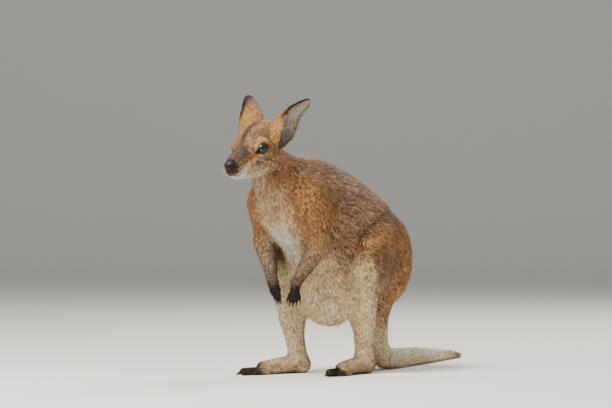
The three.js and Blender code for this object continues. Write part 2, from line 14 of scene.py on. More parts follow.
import bpy
import numpy as np
from mathutils import Matrix
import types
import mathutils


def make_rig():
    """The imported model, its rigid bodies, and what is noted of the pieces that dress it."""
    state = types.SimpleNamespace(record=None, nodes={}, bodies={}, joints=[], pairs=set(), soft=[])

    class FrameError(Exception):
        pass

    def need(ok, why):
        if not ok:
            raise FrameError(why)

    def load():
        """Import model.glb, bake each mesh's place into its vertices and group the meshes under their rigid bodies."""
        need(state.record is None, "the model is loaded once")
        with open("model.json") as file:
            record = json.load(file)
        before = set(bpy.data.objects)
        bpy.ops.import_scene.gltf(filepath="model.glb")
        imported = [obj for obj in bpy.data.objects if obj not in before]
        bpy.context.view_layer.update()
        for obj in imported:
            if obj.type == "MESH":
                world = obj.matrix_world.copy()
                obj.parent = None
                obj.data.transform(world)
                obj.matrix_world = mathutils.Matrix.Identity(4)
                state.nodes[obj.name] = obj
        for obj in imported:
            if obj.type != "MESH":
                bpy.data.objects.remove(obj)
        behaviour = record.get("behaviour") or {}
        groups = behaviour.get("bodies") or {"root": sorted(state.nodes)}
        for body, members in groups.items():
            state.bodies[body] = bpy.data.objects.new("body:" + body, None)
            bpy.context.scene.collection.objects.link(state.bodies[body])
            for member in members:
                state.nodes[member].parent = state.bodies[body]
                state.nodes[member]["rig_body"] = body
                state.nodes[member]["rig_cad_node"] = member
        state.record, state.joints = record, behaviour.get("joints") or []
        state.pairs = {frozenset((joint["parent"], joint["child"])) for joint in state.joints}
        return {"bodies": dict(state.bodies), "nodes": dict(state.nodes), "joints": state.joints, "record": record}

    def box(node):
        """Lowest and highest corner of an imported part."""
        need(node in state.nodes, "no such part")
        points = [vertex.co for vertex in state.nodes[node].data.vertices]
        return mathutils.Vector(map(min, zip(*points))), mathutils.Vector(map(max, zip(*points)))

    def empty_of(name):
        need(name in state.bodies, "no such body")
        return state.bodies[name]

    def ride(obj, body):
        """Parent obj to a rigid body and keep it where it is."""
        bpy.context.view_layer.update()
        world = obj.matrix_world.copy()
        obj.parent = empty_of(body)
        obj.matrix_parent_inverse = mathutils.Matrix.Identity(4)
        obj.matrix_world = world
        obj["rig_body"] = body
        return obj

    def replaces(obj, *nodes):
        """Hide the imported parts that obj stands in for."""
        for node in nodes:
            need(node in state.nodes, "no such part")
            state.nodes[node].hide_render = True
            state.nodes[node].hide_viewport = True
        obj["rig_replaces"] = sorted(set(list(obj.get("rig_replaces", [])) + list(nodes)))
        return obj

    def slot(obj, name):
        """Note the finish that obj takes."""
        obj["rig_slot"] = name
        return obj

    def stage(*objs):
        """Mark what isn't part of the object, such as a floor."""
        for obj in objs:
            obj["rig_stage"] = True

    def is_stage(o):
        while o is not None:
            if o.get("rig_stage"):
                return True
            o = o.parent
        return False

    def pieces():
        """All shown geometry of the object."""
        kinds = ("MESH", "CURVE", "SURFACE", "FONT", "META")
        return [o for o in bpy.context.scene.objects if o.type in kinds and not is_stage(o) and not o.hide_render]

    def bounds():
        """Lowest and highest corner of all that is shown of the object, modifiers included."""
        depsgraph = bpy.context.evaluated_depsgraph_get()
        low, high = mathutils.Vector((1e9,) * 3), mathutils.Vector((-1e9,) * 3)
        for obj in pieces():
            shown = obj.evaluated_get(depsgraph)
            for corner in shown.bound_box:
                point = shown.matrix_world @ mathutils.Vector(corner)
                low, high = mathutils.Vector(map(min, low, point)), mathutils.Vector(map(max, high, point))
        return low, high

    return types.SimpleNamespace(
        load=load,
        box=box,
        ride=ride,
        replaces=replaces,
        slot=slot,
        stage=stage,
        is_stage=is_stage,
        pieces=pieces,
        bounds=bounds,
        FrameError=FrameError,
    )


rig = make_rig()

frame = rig.load()
CAD_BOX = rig.bounds()

log = logging.getLogger("wallaby")
Array = np.ndarray
SIDES = {"left": 1.0, "right": -1.0}
SKY = np.array([0.0, 0.0, 1.0])
MM_PER_M = 1000.0
PAINT = "Paint"


def at(left: float, forward: float, up: float) -> Array:
    """A point from how far it lies to the animal's left, forward and up, in millimetres."""
    return np.array([left, -forward, up], dtype=float)


def unit(v: Array) -> Array:
    """Vectors divided by their own length along the last axis."""
    return v / np.maximum(np.linalg.norm(v, axis=-1, keepdims=True), 1e-9)


def ramp(x: Array, low: float, high: float) -> Array:
    """Zero below low, one above high and a smooth s-curve between; low may be the larger one."""
    t = np.clip((x - low) / (high - low), 0.0, 1.0)
    return t * t * (3.0 - 2.0 * t)


def srgb(red: int, green: int, blue: int) -> Array:
    """A colour named by its screen values of 0 to 255, as linear light."""
    c = np.array([red, green, blue], dtype=float) / 255.0
    return np.where(c <= 0.04045, c / 12.92, ((c + 0.055) / 1.055) ** 2.4)


# ------------------------------------------------------------------------------------- coat


@dataclass(frozen=True)
class Coat:
    """How the hair grows on one part of the body, in millimetres and tufts to a square millimetre."""

    length: float
    width: float
    depth: float
    density: float


class Region(Enum):
    """The parts of the body that differ in coat, with their coats."""

    TRUNK = Coat(11.5, 0.95, 5.0, 0.7)
    NECK = Coat(11.0, 0.9, 4.6, 0.8)
    HEAD = Coat(5.2, 0.55, 1.6, 1.7)
    MUZZLE = Coat(2.6, 0.42, 0.6, 2.2)
    ARM = Coat(8.5, 0.8, 3.0, 0.9)
    FOREARM = Coat(6.5, 0.7, 1.8, 1.2)
    HAND = Coat(3.2, 0.55, 0.6, 1.5)
    THIGH = Coat(11.5, 0.95, 4.6, 0.72)
    SHANK = Coat(7.5, 0.8, 2.2, 0.95)
    FOOT = Coat(4.8, 0.7, 1.0, 1.2)
    TAIL = Coat(8.0, 0.8, 2.2, 0.9)


REGIONS = list(Region)
ORDER = {region: i for i, region in enumerate(REGIONS)}


# ------------------------------------------------------------------------------------- flesh


@dataclass
class Axes:
    """A right-handed frame: the rows of `turn` are forward, to the left and up."""

    origin: Array
    turn: Array

    @classmethod
    def facing(cls, origin: Array, forward: Array) -> "Axes":
        """A frame whose first axis runs along one direction and whose third leans to the sky.

        Args:
            origin: where the frame stands.
            forward: the direction of the first axis, of any length.

        Returns:
            The frame.
        """
        x = unit(forward)
        y = unit(np.cross(SKY, x))
        return cls(origin, np.array([x, y, np.cross(x, y)]))

    def place(self, along: float, left: float, up: float) -> Array:
        """The point at these distances along the frame's own axes."""
        return self.origin + np.array([along, left, up]) @ self.turn

    def moved(self, along: float, left: float, up: float) -> "Axes":
        """The same frame with its origin moved along its own axes."""
        return Axes(self.place(along, left, up), self.turn)

    def local(self, points: Array) -> Array:
        """Points as distances along the frame's own axes."""
        return (points - self.origin) @ self.turn.T


def heading(pitch: float, yaw: float = 0.0) -> Array:
    """The direction that forward becomes when raised by pitch and turned left by yaw, in degrees."""
    p, y = math.radians(pitch), math.radians(yaw)
    return at(math.cos(p) * math.sin(y), math.cos(p) * math.cos(y), math.sin(p))


@dataclass
class Oval:
    """An ellipsoid with half sizes along, across and deep in a frame."""

    axes: Axes
    size: tuple[float, float, float]

    def distance(self, points: Array, inset: float = 0.0) -> Array:
        """Signed distance, near enough: k0 (k0 - 1) / k1.

        k0 is the length of the point divided by the half sizes, and k1 its length divided by their squares.

        Args:
            points: places, any shape ending in 3.
            inset: how much every half size is drawn in.

        Returns:
            The distance at each point, negative inside.
        """
        q = self.axes.local(points)
        half = np.array(self.size) - inset
        k0 = np.linalg.norm(q / half, axis=-1)
        k1 = np.linalg.norm(q / half**2, axis=-1)
        return np.where(k1 > 1e-9, k0 * (k0 - 1.0) / np.maximum(k1, 1e-9), -half.min())

    def reach(self) -> tuple[Array, Array]:
        """The corners of a box round the shape."""
        r = max(self.size)
        return self.axes.origin - r, self.axes.origin + r


@dataclass
class Limb:
    """A tapered rod with round ends, narrowed along `side` by `flat`."""

    start: Array
    end: Array
    r_start: float
    r_end: float
    flat: float = 1.0
    side: Array = field(default_factory=lambda: np.array([1.0, 0.0, 0.0]))

    def distance(self, points: Array, inset: float = 0.0) -> Array:
        """Distance to the nearest point of the line, less the radius there, which goes evenly along it.

        Args:
            points: places, any shape ending in 3.
            inset: how much the radius is drawn in.

        Returns:
            The distance at each point, negative inside.
        """
        axis = self.end - self.start
        across = unit(self.side - axis * (self.side @ axis) / (axis @ axis))
        q = points - self.start
        t = np.clip(q @ axis / (axis @ axis), 0.0, 1.0)
        q = q - t[..., None] * axis
        q = q + (q @ across)[..., None] * across * (1.0 / self.flat - 1.0)
        r = self.r_start + (self.r_end - self.r_start) * t - inset / min(1.0, self.flat)
        return (np.linalg.norm(q, axis=-1) - r) * min(1.0, self.flat)

    def reach(self) -> tuple[Array, Array]:
        """The corners of a box round the shape."""
        r = max(self.r_start, self.r_end)
        return np.minimum(self.start, self.end) - r, np.maximum(self.start, self.end) + r


@dataclass
class Lump:
    """One shape of the flesh: how widely it melts, which region it is and which way its hair lies."""

    blend: float
    shape: Oval | Limb
    region: Region
    lie: Array


def melt(a: Array, b: Array, blend: float) -> Array:
    """The smaller of two distances, rounded where they are nearer to each other than blend."""
    h = np.maximum(blend - np.abs(a - b), 0.0) / blend
    return np.minimum(a, b) - h * h * blend / 4.0


class Flesh:
    """The whole body as a list of lumps that melt into each other in turn.

    FAR is the distance taken for places away from every lump, TOUCH how far a lump is felt, and SPREAD the
    distance over which the share of a region falls to 1/e.
    """

    FAR = 60.0
    TOUCH = 45.0
    SPREAD = 7.0

    def __init__(self) -> None:
        """Starts with no lumps."""
        self.lumps: list[Lump] = []

    def add(self, blend: float, region: Region, lie: Array, *shapes: Oval | Limb) -> None:
        """Adds shapes of one region whose hair lies along one direction."""
        self.lumps += [Lump(blend, shape, region, unit(lie)) for shape in shapes]

    def distance(self, points: Array, coat: bool = True) -> Array:
        """Signed distance to the skin, or without coat to the outline of the coat.

        Args:
            points: places, any shape ending in 3.
            coat: whether each lump is drawn in by its own coat's depth.

        Returns:
            The distance at each point, negative inside.
        """
        d = np.full(points.shape[:-1], 1e3)
        for lump in self.lumps:
            d = melt(d, lump.shape.distance(points, lump.region.value.depth if coat else 0.0), lump.blend)
        return d

    def sampled(self, xs: Array, ys: Array, zs: Array) -> Array:
        """The distance on a grid, where each lump is worked out only in the box that it can touch.

        Args:
            xs, ys, zs: the grid lines.

        Returns:
            The distance at each crossing of the lines.
        """
        d = np.full((len(xs), len(ys), len(zs)), self.FAR, dtype=np.float32)
        for lump in self.lumps:
            low, high = lump.shape.reach()
            cut = [
                slice(np.searchsorted(axis, a - self.TOUCH), np.searchsorted(axis, b + self.TOUCH))
                for axis, a, b in zip((xs, ys, zs), low, high)
            ]
            mesh = np.meshgrid(xs[cut[0]], ys[cut[1]], zs[cut[2]], indexing="ij")
            near = lump.shape.distance(np.stack(mesh, -1), lump.region.value.depth)
            d[tuple(cut)] = melt(d[tuple(cut)], near, lump.blend)
        return d

    def slope(self, points: Array, step: float = 0.35) -> Array:
        """The outward unit normal of the field, from central differences."""
        shifts = np.eye(3) * step
        return unit(np.stack([self.distance(points + e) - self.distance(points - e) for e in shifts], -1))

    def mixture(self, points: Array) -> tuple[Array, Array]:
        """How much each region counts at each point, and which way the hair lies there.

        A lump counts by e to the power of minus its distance over SPREAD.

        Args:
            points: places on the skin, N by 3.

        Returns:
            Shares of the regions, N by the number of regions, and directions, N by 3.
        """
        apart = np.stack([lump.shape.distance(points) for lump in self.lumps], 1)
        weight = np.exp(-(apart - apart.min(1, keepdims=True)) / self.SPREAD)
        weight /= weight.sum(1, keepdims=True)
        shares = np.zeros((len(points), len(REGIONS)))
        for i, lump in enumerate(self.lumps):
            shares[:, ORDER[lump.region]] += weight[:, i]
        return shares, weight @ np.array([lump.lie for lump in self.lumps])


@dataclass
class Leg:
    """The joints of one hind leg."""

    hip: Array
    knee: Array
    shin: Array
    ankle: Array
    heel: Array
    ball: Array
    toe: Array


@dataclass
class Arm:
    """The joints of one arm."""

    shoulder: Array
    elbow: Array
    wrist: Array
    fingers: Array


@dataclass
class Toe:
    """One toe: its start and end as shares of the foot, how far out it lies, its radius and claw length."""

    name: str
    start: float
    end: float
    out: float
    r: float
    claw: float


@dataclass
class Pose:
    """The measured places of the body, as in the solids."""

    legs: dict[str, Leg] = field(
        default_factory=lambda: {
            "left": Leg(
                at(48, -50, 285), at(84, 30, 205), at(64, 16, 110), at(57, 6, 34), at(52, -10, 16),
                at(73, 92, 13), at(84, 146, 9),
            ),
            "right": Leg(
                at(-48, -14, 280), at(-78, 98, 200), at(-66, 88, 110), at(-60, 78, 34), at(-56, 66, 16),
                at(-70, 170, 13), at(-77, 226, 9),
            ),
        }
    )
    arms: dict[str, Arm] = field(
        default_factory=lambda: {
            "left": Arm(at(56, 165, 343), at(62, 146, 264), at(33, 186, 186), at(20, 180, 140)),
            "right": Arm(at(-62, 174, 345), at(-74, 158, 264), at(-32, 184, 190), at(-19, 178, 144)),
        }
    )
    tail: list[tuple[Array, float]] = field(
        default_factory=lambda: [
            (at(0, -52, 225), 50.0), (at(0, -82, 160), 43.0), (at(0, -90, 104), 30.0),
            (at(-3, -100, 56), 25.0), (at(-9, -128, 27), 23.0), (at(-22, -175, 20), 21.5),
            (at(-83, -329, 17.5), 19.0), (at(-130, -440, 13.5), 15.0), (at(-172, -545, 9), 10.5),
            (at(-196, -606, 5.5), 6.5),
        ]
    )
    head: Axes = field(default_factory=lambda: Axes.facing(at(5, 292, 454), heading(-26.5, 7)))
    eye_spread: float = 30.0
    eye_radius: float = 11.5
    fingers: tuple[float, ...] = (-11.0, -6.0, 0.0, 6.0, 11.0)
    finger_ends: tuple[float, float] = (0.45, 0.84)
    finger_fan: tuple[float, float] = (0.75, 1.15)
    toes: tuple[Toe, ...] = (
        Toe("inner", 0.62, 0.84, -11.0, 5.5, 11.0),
        Toe("fourth", 0.7, 0.97, 0.0, 8.5, 18.0),
        Toe("fifth", 0.6, 0.82, 11.5, 6.5, 13.0),
    )

    def nose_pad(self) -> Axes:
        """The head's axes moved to the middle of the pad of the nose."""
        return self.head.moved(81, 0, -1.0)

    def eye(self, side: float) -> Array:
        """The centre of an eye."""
        return self.head.place(-1.0, side * self.eye_spread, -1.0)

    def finger_lines(self, side: str) -> list[tuple[Array, Array]]:
        """Each finger of a hand: the outer ones are shorter by 0.0016 of the square of their offset.

        Args:
            side: "left" or "right".

        Returns:
            The root in the palm and the tip of each finger.
        """
        arm, s = self.arms[side], SIDES[side]
        down = arm.fingers - arm.wrist
        across = unit(np.array([s, 0.35, 0.0]))
        lines = []
        for offset in self.fingers:
            reach = 1.0 - 0.0016 * offset * offset
            root = arm.wrist + down * self.finger_ends[0] + across * offset * self.finger_fan[0]
            tip = arm.wrist + down * self.finger_ends[1] * reach + across * offset * self.finger_fan[1]
            lines.append((root, tip))
        return lines

    def toe_lines(self, side: str) -> list[tuple[Toe, Array, Array]]:
        """The toes of a foot.

        Args:
            side: "left" or "right".

        Returns:
            Each toe with the two ends of its middle line.
        """
        leg, s = self.legs[side], SIDES[side]
        along = (leg.toe - leg.heel) * np.array([1.0, 1.0, 0.0])
        out = unit(np.array([-along[1], along[0], 0.0])) * s
        lines = []
        for toe in self.toes:
            ends = [leg.heel + along * t + out * toe.out for t in (toe.start, toe.end)]
            for end in ends:
                end[2] = toe.r - 1.0
            lines.append((toe, ends[0], ends[1]))
        return lines


class Body:
    """The flesh of the whole animal, built part by part."""

    def __init__(self, pose: Pose) -> None:
        """Builds every lump in the order in which they melt together.

        Args:
            pose: the measured places of the body.
        """
        self.pose = pose
        self.flesh = Flesh()
        self._trunk()
        self._neck()
        self._head()
        for side, s in SIDES.items():
            self._arm(side, s)
            self._leg(side, s)
        self._tail()

    def _trunk(self) -> None:
        """Chest, ribs, loin, rump, belly and pouch."""
        f, back, down = self.flesh, at(0, -0.8, -0.6), at(0, -0.25, -0.95)

        def level(forward: float, up: float, pitch: float) -> Axes:
            """A frame on the animal's middle plane."""
            return Axes.facing(at(0, forward, up), heading(pitch))

        f.add(40, Region.TRUNK, at(0, -0.5, -0.85), Oval(level(142, 332, 50), (94, 68, 78)))
        f.add(40, Region.TRUNK, at(0, -0.7, -0.7), Oval(level(62, 318, 38), (112, 78, 100)))
        f.add(40, Region.TRUNK, back, Oval(level(-4, 282, 48), (112, 84, 100)))
        f.add(40, Region.TRUNK, back, Oval(level(-40, 266, 52), (92, 76, 88)))
        f.add(40, Region.TRUNK, down, Oval(level(72, 232, 60), (74, 74, 60)))
        f.add(26, Region.TRUNK, down, Oval(level(48, 172, 10), (72, 66, 76)))

    def _neck(self) -> None:
        """The neck, from the back of the skull into the chest and withers."""
        back = at(0, -0.55, -0.83)
        self.flesh.add(30, Region.NECK, back, Limb(at(4, 242, 440), at(0, 184, 376), 36, 54, 0.95))
        self.flesh.add(30, Region.NECK, back, Limb(at(0, 200, 388), at(0, 100, 372), 46, 56, 0.95))

    def _head(self) -> None:
        """Skull, face, muzzle, lower jaw, cheeks, brows, lips and the root of the nose."""
        h, f = self.pose.head, self.flesh
        back, across = -h.turn[0], h.turn[1]
        f.add(14, Region.HEAD, back, Oval(h.moved(-40, 0, 2), (48, 35, 34)))
        f.add(14, Region.HEAD, back, Limb(h.place(-12, 0, 0), h.place(46, 0, -6), 33, 18, 0.86, across))
        f.add(14, Region.MUZZLE, back, Oval(h.moved(54, 0, -9), (27, 16, 19)))
        f.add(14, Region.HEAD, back, Limb(h.place(60, 0, -28), h.place(0, 0, -38), 10, 22, 0.9, across))
        for s in (1.0, -1.0):
            f.add(10, Region.HEAD, back, Oval(h.moved(-26, s * 18, -26), (34, 17, 28)))
            f.add(10, Region.HEAD, back + 0.3 * h.turn[2], Oval(h.moved(2, s * 24, 8), (17, 9, 13)))
            f.add(10, Region.MUZZLE, back, Oval(h.moved(60, s * 6, -15), (16, 10, 11)))
        f.add(6, Region.MUZZLE, back, Oval(h.moved(74, 0, -2), (9, 11, 10)))

    def _arm(self, side: str, s: float) -> None:
        """Shoulder, upper arm, forearm, palm and five fingers.

        Args:
            side: "left" or "right".
            s: 1 for the left side and -1 for the right.
        """
        a, f = self.pose.arms[side], self.flesh
        upper, lower = a.elbow - a.shoulder, a.wrist - a.elbow
        f.add(26, Region.ARM, upper, Oval(Axes.facing(a.shoulder, upper), (50, 34, 40)))
        f.add(9, Region.ARM, upper, Limb(a.shoulder, a.elbow, 34, 21))
        f.add(12, Region.FOREARM, lower, Limb(a.elbow, a.wrist, 23, 10.5))
        palm = a.wrist + 0.42 * (a.fingers - a.wrist)
        down = a.fingers - a.wrist
        f.add(8, Region.HAND, down, Limb(a.wrist, palm, 10.5, 12.5, 0.72, np.array([s * 0.3, 1.0, 0.0])))
        for root, tip in self.pose.finger_lines(side):
            f.add(2, Region.HAND, down, Limb(root, tip, 4.4, 3.4))

    def _leg(self, side: str, s: float) -> None:
        """Thigh, buttock, calf, shank, heel, foot and toes.

        Args:
            side: "left" or "right".
            s: 1 for the left side and -1 for the right.
        """
        g, f = self.pose.legs[side], self.flesh
        along = g.knee - g.hip
        middle = g.hip + 0.42 * along + at(s * 2, -4, -8)
        rear = Axes.facing(g.hip + at(s * 10, -24, -58), at(0, 0.1, -1))
        f.add(10, Region.THIGH, at(0, -0.45, -0.9), Oval(Axes.facing(middle, along), (102, 42, 74)))
        f.add(20, Region.THIGH, at(0, -0.35, -0.95), Oval(rear, (86, 38, 54)))
        f.add(22, Region.SHANK, at(0, -0.25, -1), Limb(g.knee, g.shin, 36, 24))
        f.add(14, Region.SHANK, g.ankle - g.shin, Limb(g.shin, g.ankle, 24, 18))
        f.add(10, Region.FOOT, g.heel - g.ankle, Limb(g.ankle, g.heel, 18, 17))
        instep = np.array([g.ankle[0], g.ankle[1], 20.0])
        forward = g.toe - g.heel
        f.add(12, Region.FOOT, forward, Limb(instep, g.ball, 19, 14.5))
        for toe, root, tip in self.pose.toe_lines(side):
            f.add(4, Region.FOOT, forward, Limb(root, tip, toe.r + 1.0, toe.r))

    def _tail(self) -> None:
        """The tail in lengths from the rump to its tip."""
        line = self.pose.tail
        for i, ((a, ra), (b, rb)) in enumerate(zip(line, line[1:])):
            self.flesh.add(26 if i < 2 else 3, Region.TAIL, b - a, Limb(a, b, ra, rb))


# ------------------------------------------------------------------------------------- meshing


def spaced(stops: list[tuple[float, float]]) -> Array:
    """Grid lines whose spacing changes at stops.

    Args:
        stops: each a place and the spacing from there to the next stop.

    Returns:
        The places of the lines.
    """
    parts = [
        np.linspace(a, b, max(2, round((b - a) / step) + 1))[:-1]
        for (a, step), (b, _) in zip(stops, stops[1:])
    ]
    return np.concatenate([*parts, [stops[-1][0]]])


def surface_of(values: Array, xs: Array, ys: Array, zs: Array) -> tuple[Array, Array]:
    """The zero surface of a sampled field as quads, by surface nets.

    Each grid cell that the surface passes through has one point, the mean of the crossings on its
    edges, and each grid edge that it crosses joins the points of its four cells.

    Args:
        values: the field on the grid, positive all round the border.
        xs, ys, zs: the grid lines.

    Returns:
        Points, N by 3, and quads, M by 4, facing out.
    """
    inside = values < 0
    corner = [(i, j, k) for i in (0, 1) for j in (0, 1) for k in (0, 1)]

    def part(array: Array, c: tuple[int, int, int]) -> Array:
        """The values at one corner of every cell."""
        return array[tuple(slice(o, n - 1 + o) for o, n in zip(c, values.shape))]

    count = sum(part(inside, c).astype(np.int8) for c in corner)
    cells = np.argwhere((count > 0) & (count < 8))
    index = np.full(count.shape, -1, dtype=np.int32)
    index[tuple(cells.T)] = np.arange(len(cells))
    total, hits = np.zeros((len(cells), 3)), np.zeros(len(cells))
    for c in corner:
        for axis in range(3):
            if c[axis]:
                continue
            other = tuple(1 if a == axis else o for a, o in enumerate(c))
            va = values[tuple((cells + c).T)]
            vb = values[tuple((cells + other).T)]
            cross = (va < 0) != (vb < 0)
            t = np.where(cross, va / np.where(cross, va - vb, 1.0), 0.0)
            spot = np.tile(np.array(c, dtype=float), (len(cells), 1))
            spot[:, axis] += t
            total += spot * cross[:, None]
            hits += cross
    spot = total / hits[:, None]
    points = np.empty_like(spot)
    for axis, lines in enumerate((xs, ys, zs)):
        low = lines[cells[:, axis]]
        points[:, axis] = low + spot[:, axis] * (lines[cells[:, axis] + 1] - low)
    quads = []
    for axis in range(3):
        u, v = (axis + 1) % 3, (axis + 2) % 3
        a = np.moveaxis(inside, axis, 0)
        edge = np.moveaxis(a[:-1] != a[1:], 0, axis)
        spots = np.argwhere(edge)
        spots = spots[(spots[:, u] > 0) & (spots[:, v] > 0)]
        ring = []
        for du, dv in ((1, 1), (0, 1), (0, 0), (1, 0)):
            cell = spots.copy()
            cell[:, u] -= du
            cell[:, v] -= dv
            ring.append(index[tuple(cell.T)])
        quad = np.stack(ring, 1)
        flip = ~inside[tuple(spots.T)]
        quad[flip] = quad[flip][:, ::-1]
        quads.append(quad)
    return points, np.concatenate(quads)


class Space:
    """Turns places on the animal's own axes, in millimetres, into metres in the frame of the CAD."""

    def __init__(self, pose: Pose) -> None:
        """Finds the shift between the two from the CAD's left eye; the ground is level zero in both.

        Args:
            pose: the measured places of the body.
        """
        middle = np.array(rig.box("eye_left")).mean(0)
        self.shift = middle - pose.eye(1.0) / MM_PER_M
        self.shift[2] = 0.0

    def metres(self, points: Array) -> Array:
        """Places in metres in the frame."""
        return points / MM_PER_M + self.shift


def new_mesh(name: str, points: Array, faces: Array, colours: Array | None = None) -> bpy.types.Mesh:
    """A smoothly shaded mesh from whole arrays.

    Args:
        name: the name of the mesh and of its piece.
        points: places in metres in the frame, N by 3.
        faces: corners of the faces, all with equally many.
        colours: a linear colour for each point, kept as an attribute of the points.

    Returns:
        The new mesh.
    """
    mesh = bpy.data.meshes.new(name)
    corners = faces.shape[1]
    mesh.vertices.add(len(points))
    mesh.vertices.foreach_set("co", points.astype(np.float32).ravel())
    mesh.loops.add(faces.size)
    mesh.loops.foreach_set("vertex_index", faces.astype(np.int32).ravel())
    mesh.polygons.add(len(faces))
    mesh.polygons.foreach_set("loop_start", np.arange(len(faces), dtype=np.int32) * corners)
    mesh.polygons.foreach_set("use_smooth", np.full(len(faces), True))
    mesh.update(calc_edges=True)
    mesh.validate()
    if colours is not None:
        layer = mesh.attributes.new(PAINT, "FLOAT_COLOR", "POINT")
        layer.data.foreach_set("color", np.c_[colours, np.ones(len(points))].astype(np.float32).ravel())
    return mesh


def add_piece(mesh: bpy.types.Mesh, slot: str, material: bpy.types.Material, *nodes: str) -> None:
    """Puts a mesh into the scene as a piece of the model.

    Args:
        mesh: the finished mesh, in metres in the frame.
        slot: the record's slot that the piece takes its finish from.
        material: what it is made of.
        nodes: the CAD nodes that it stands for.
    """
    piece = bpy.data.objects.new(mesh.name, mesh)
    bpy.context.scene.collection.objects.link(piece)
    mesh.materials.append(material)
    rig.ride(piece, "root")
    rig.slot(piece, slot)
    if nodes:
        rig.replaces(piece, *nodes)
    log.info("%s: %d faces", mesh.name, len(mesh.polygons))


# ------------------------------------------------------------------------------------- finishes


@dataclass(frozen=True)
class Wire:
    """An output socket of a shader node that can be reckoned with like a number."""

    shader: "Shader"
    socket: bpy.types.NodeSocket

    def _math(self, operation: str, *values: "Wire | float") -> "Wire":
        """A Math node of these inputs."""
        return self.shader.node("ShaderNodeMath", {"operation": operation}, *values)

    def __sub__(self, other: "Wire | float") -> "Wire":
        """Difference."""
        return self._math("SUBTRACT", self, other)

    def __rsub__(self, other: "Wire | float") -> "Wire":
        """Difference from a plain number."""
        return self._math("SUBTRACT", other, self)

    def __mul__(self, other: "Wire | float") -> "Wire":
        """Product."""
        return self._math("MULTIPLY", self, other)

    __rmul__ = __mul__

    def scaled(self, by: tuple[float, float, float]) -> "Wire":
        """A vector multiplied part by part."""
        return self.shader.node("ShaderNodeVectorMath", {"operation": "MULTIPLY"}, self, by)

    def mixed(self, other: "Wire | tuple[float, ...]", share: "Wire | float") -> "Wire":
        """A colour mixed with another one."""
        settings = {"data_type": "RGBA", "blend_type": "MIX"}
        return self.shader.node("ShaderNodeMix", settings, out=2, Factor=share, A_Color=self, B_Color=other)


class Shader:
    """The material of one finish and short ways to wire its nodes."""

    def __init__(self, name: str, **values: float) -> None:
        """Makes the material.

        Args:
            name: the finish's name.
            values: plain values for the inputs of its main node, named with _ for each space.
        """
        self.material = bpy.data.materials.new(name)
        self.material.use_nodes = True
        self.tree = self.material.node_tree
        self.main = next(n for n in self.tree.nodes if n.type == "BSDF_PRINCIPLED")
        for key, value in values.items():
            self.main.inputs[key.replace("_", " ")].default_value = value

    def node(
        self, kind: str, settings: dict[str, object], *values: object, out: int = 0, **named: object
    ) -> Wire:
        """Adds a node.

        Args:
            kind: the node's type.
            settings: properties of the node.
            values: numbers or wires for its first inputs in order.
            out: which output to give back.
            named: numbers or wires for inputs by name; a name ending in _Color is that colour input.

        Returns:
            The chosen output.
        """
        node = self.tree.nodes.new(kind)
        for key, value in settings.items():
            setattr(node, key, value)
        sockets = list(zip(node.inputs, values))
        for key, value in named.items():
            if key.endswith("_Color"):
                fits = [s for s in node.inputs if s.name == key[:-6] and s.type == "RGBA"]
            else:
                fits = [s for s in node.inputs if s.name == key.replace("_", " ")]
            sockets.append((fits[0], value))
        for socket, value in sockets:
            if isinstance(value, Wire):
                self.tree.links.new(value.socket, socket)
            else:
                socket.default_value = value
        return Wire(self, node.outputs[out])

    def into(self, name: str, wire: Wire) -> None:
        """Links a wire to an input of the main node."""
        self.tree.links.new(wire.socket, self.main.inputs[name.replace("_", " ")])

    def bump(self, height: Wire, distance: float, strength: float = 1.0) -> None:
        """Raises and lowers the surface's look by a height."""
        bump = self.node("ShaderNodeBump", {}, Height=height, Distance=distance, Strength=strength)
        self.into("Normal", bump)

    def paint(self) -> Wire:
        """The colour stored on the points."""
        return self.node("ShaderNodeAttribute", {"attribute_name": PAINT})

    def places(self) -> Wire:
        """The object's own coordinates."""
        return self.node("ShaderNodeTexCoord", {}, out=3)

    def noise(self, vector: Wire, scale: float, detail: float = 2.0) -> Wire:
        """Smooth noise from 0 to 1."""
        return self.node("ShaderNodeTexNoise", {}, Vector=vector, Scale=scale, Detail=detail)


@dataclass(frozen=True)
class HairFinish:
    """Hair of the coat, coloured by the points."""

    name: str = "hair"
    roughness: float = 0.62
    specular: float = 0.16

    def build(self) -> bpy.types.Material:
        """Makes the finish.

        Returns:
            The material.
        """
        shader = Shader(self.name, Roughness=self.roughness, Specular_IOR_Level=self.specular)
        shader.into("Base Color", shader.paint())
        return shader.material


@dataclass(frozen=True)
class PeltFinish:
    """The close underfur on the skin: the same colours, with painted shade between the hairs of a fine short nap."""

    name: str = "underfur"
    roughness: float = 0.9
    specular: float = 0.1
    nap: float = 1400.0
    stretch: tuple[float, float, float] = (1.0, 1.0, 0.45)
    # between: the near black of the painted shade between the hairs of the nap
    between: tuple[float, float, float, float] = (0.02, 0.014, 0.01, 1.0)
    height: float = 0.0012

    def build(self) -> bpy.types.Material:
        """Makes the finish.

        Returns:
            The material.
        """
        shader = Shader(self.name, Roughness=self.roughness, Specular_IOR_Level=self.specular)
        nap = shader.noise(shader.places().scaled(self.stretch), self.nap)
        # painted shade: the nap mixes the colour towards near black between the hairs
        shader.into("Base Color", shader.paint().mixed(self.between, (nap - 0.35) * 0.9))
        shader.bump(nap, self.height, 0.8)
        return shader.material


@dataclass(frozen=True)
class SmoothFinish:
    """A bare surface of one kind, coloured by the points, with fine pebbling."""

    name: str
    roughness: float
    pebble: float = 0.0
    height: float = 0.0
    specular: float = 0.35

    def build(self) -> bpy.types.Material:
        """Makes the finish.

        Returns:
            The material.
        """
        shader = Shader(self.name, Roughness=self.roughness, Specular_IOR_Level=self.specular)
        shader.into("Base Color", shader.paint())
        if self.pebble:
            cells = shader.node("ShaderNodeTexVoronoi", {}, Vector=shader.places(), Scale=self.pebble)
            shader.bump(cells, self.height)
        return shader.material


# ------------------------------------------------------------------------------------- colours


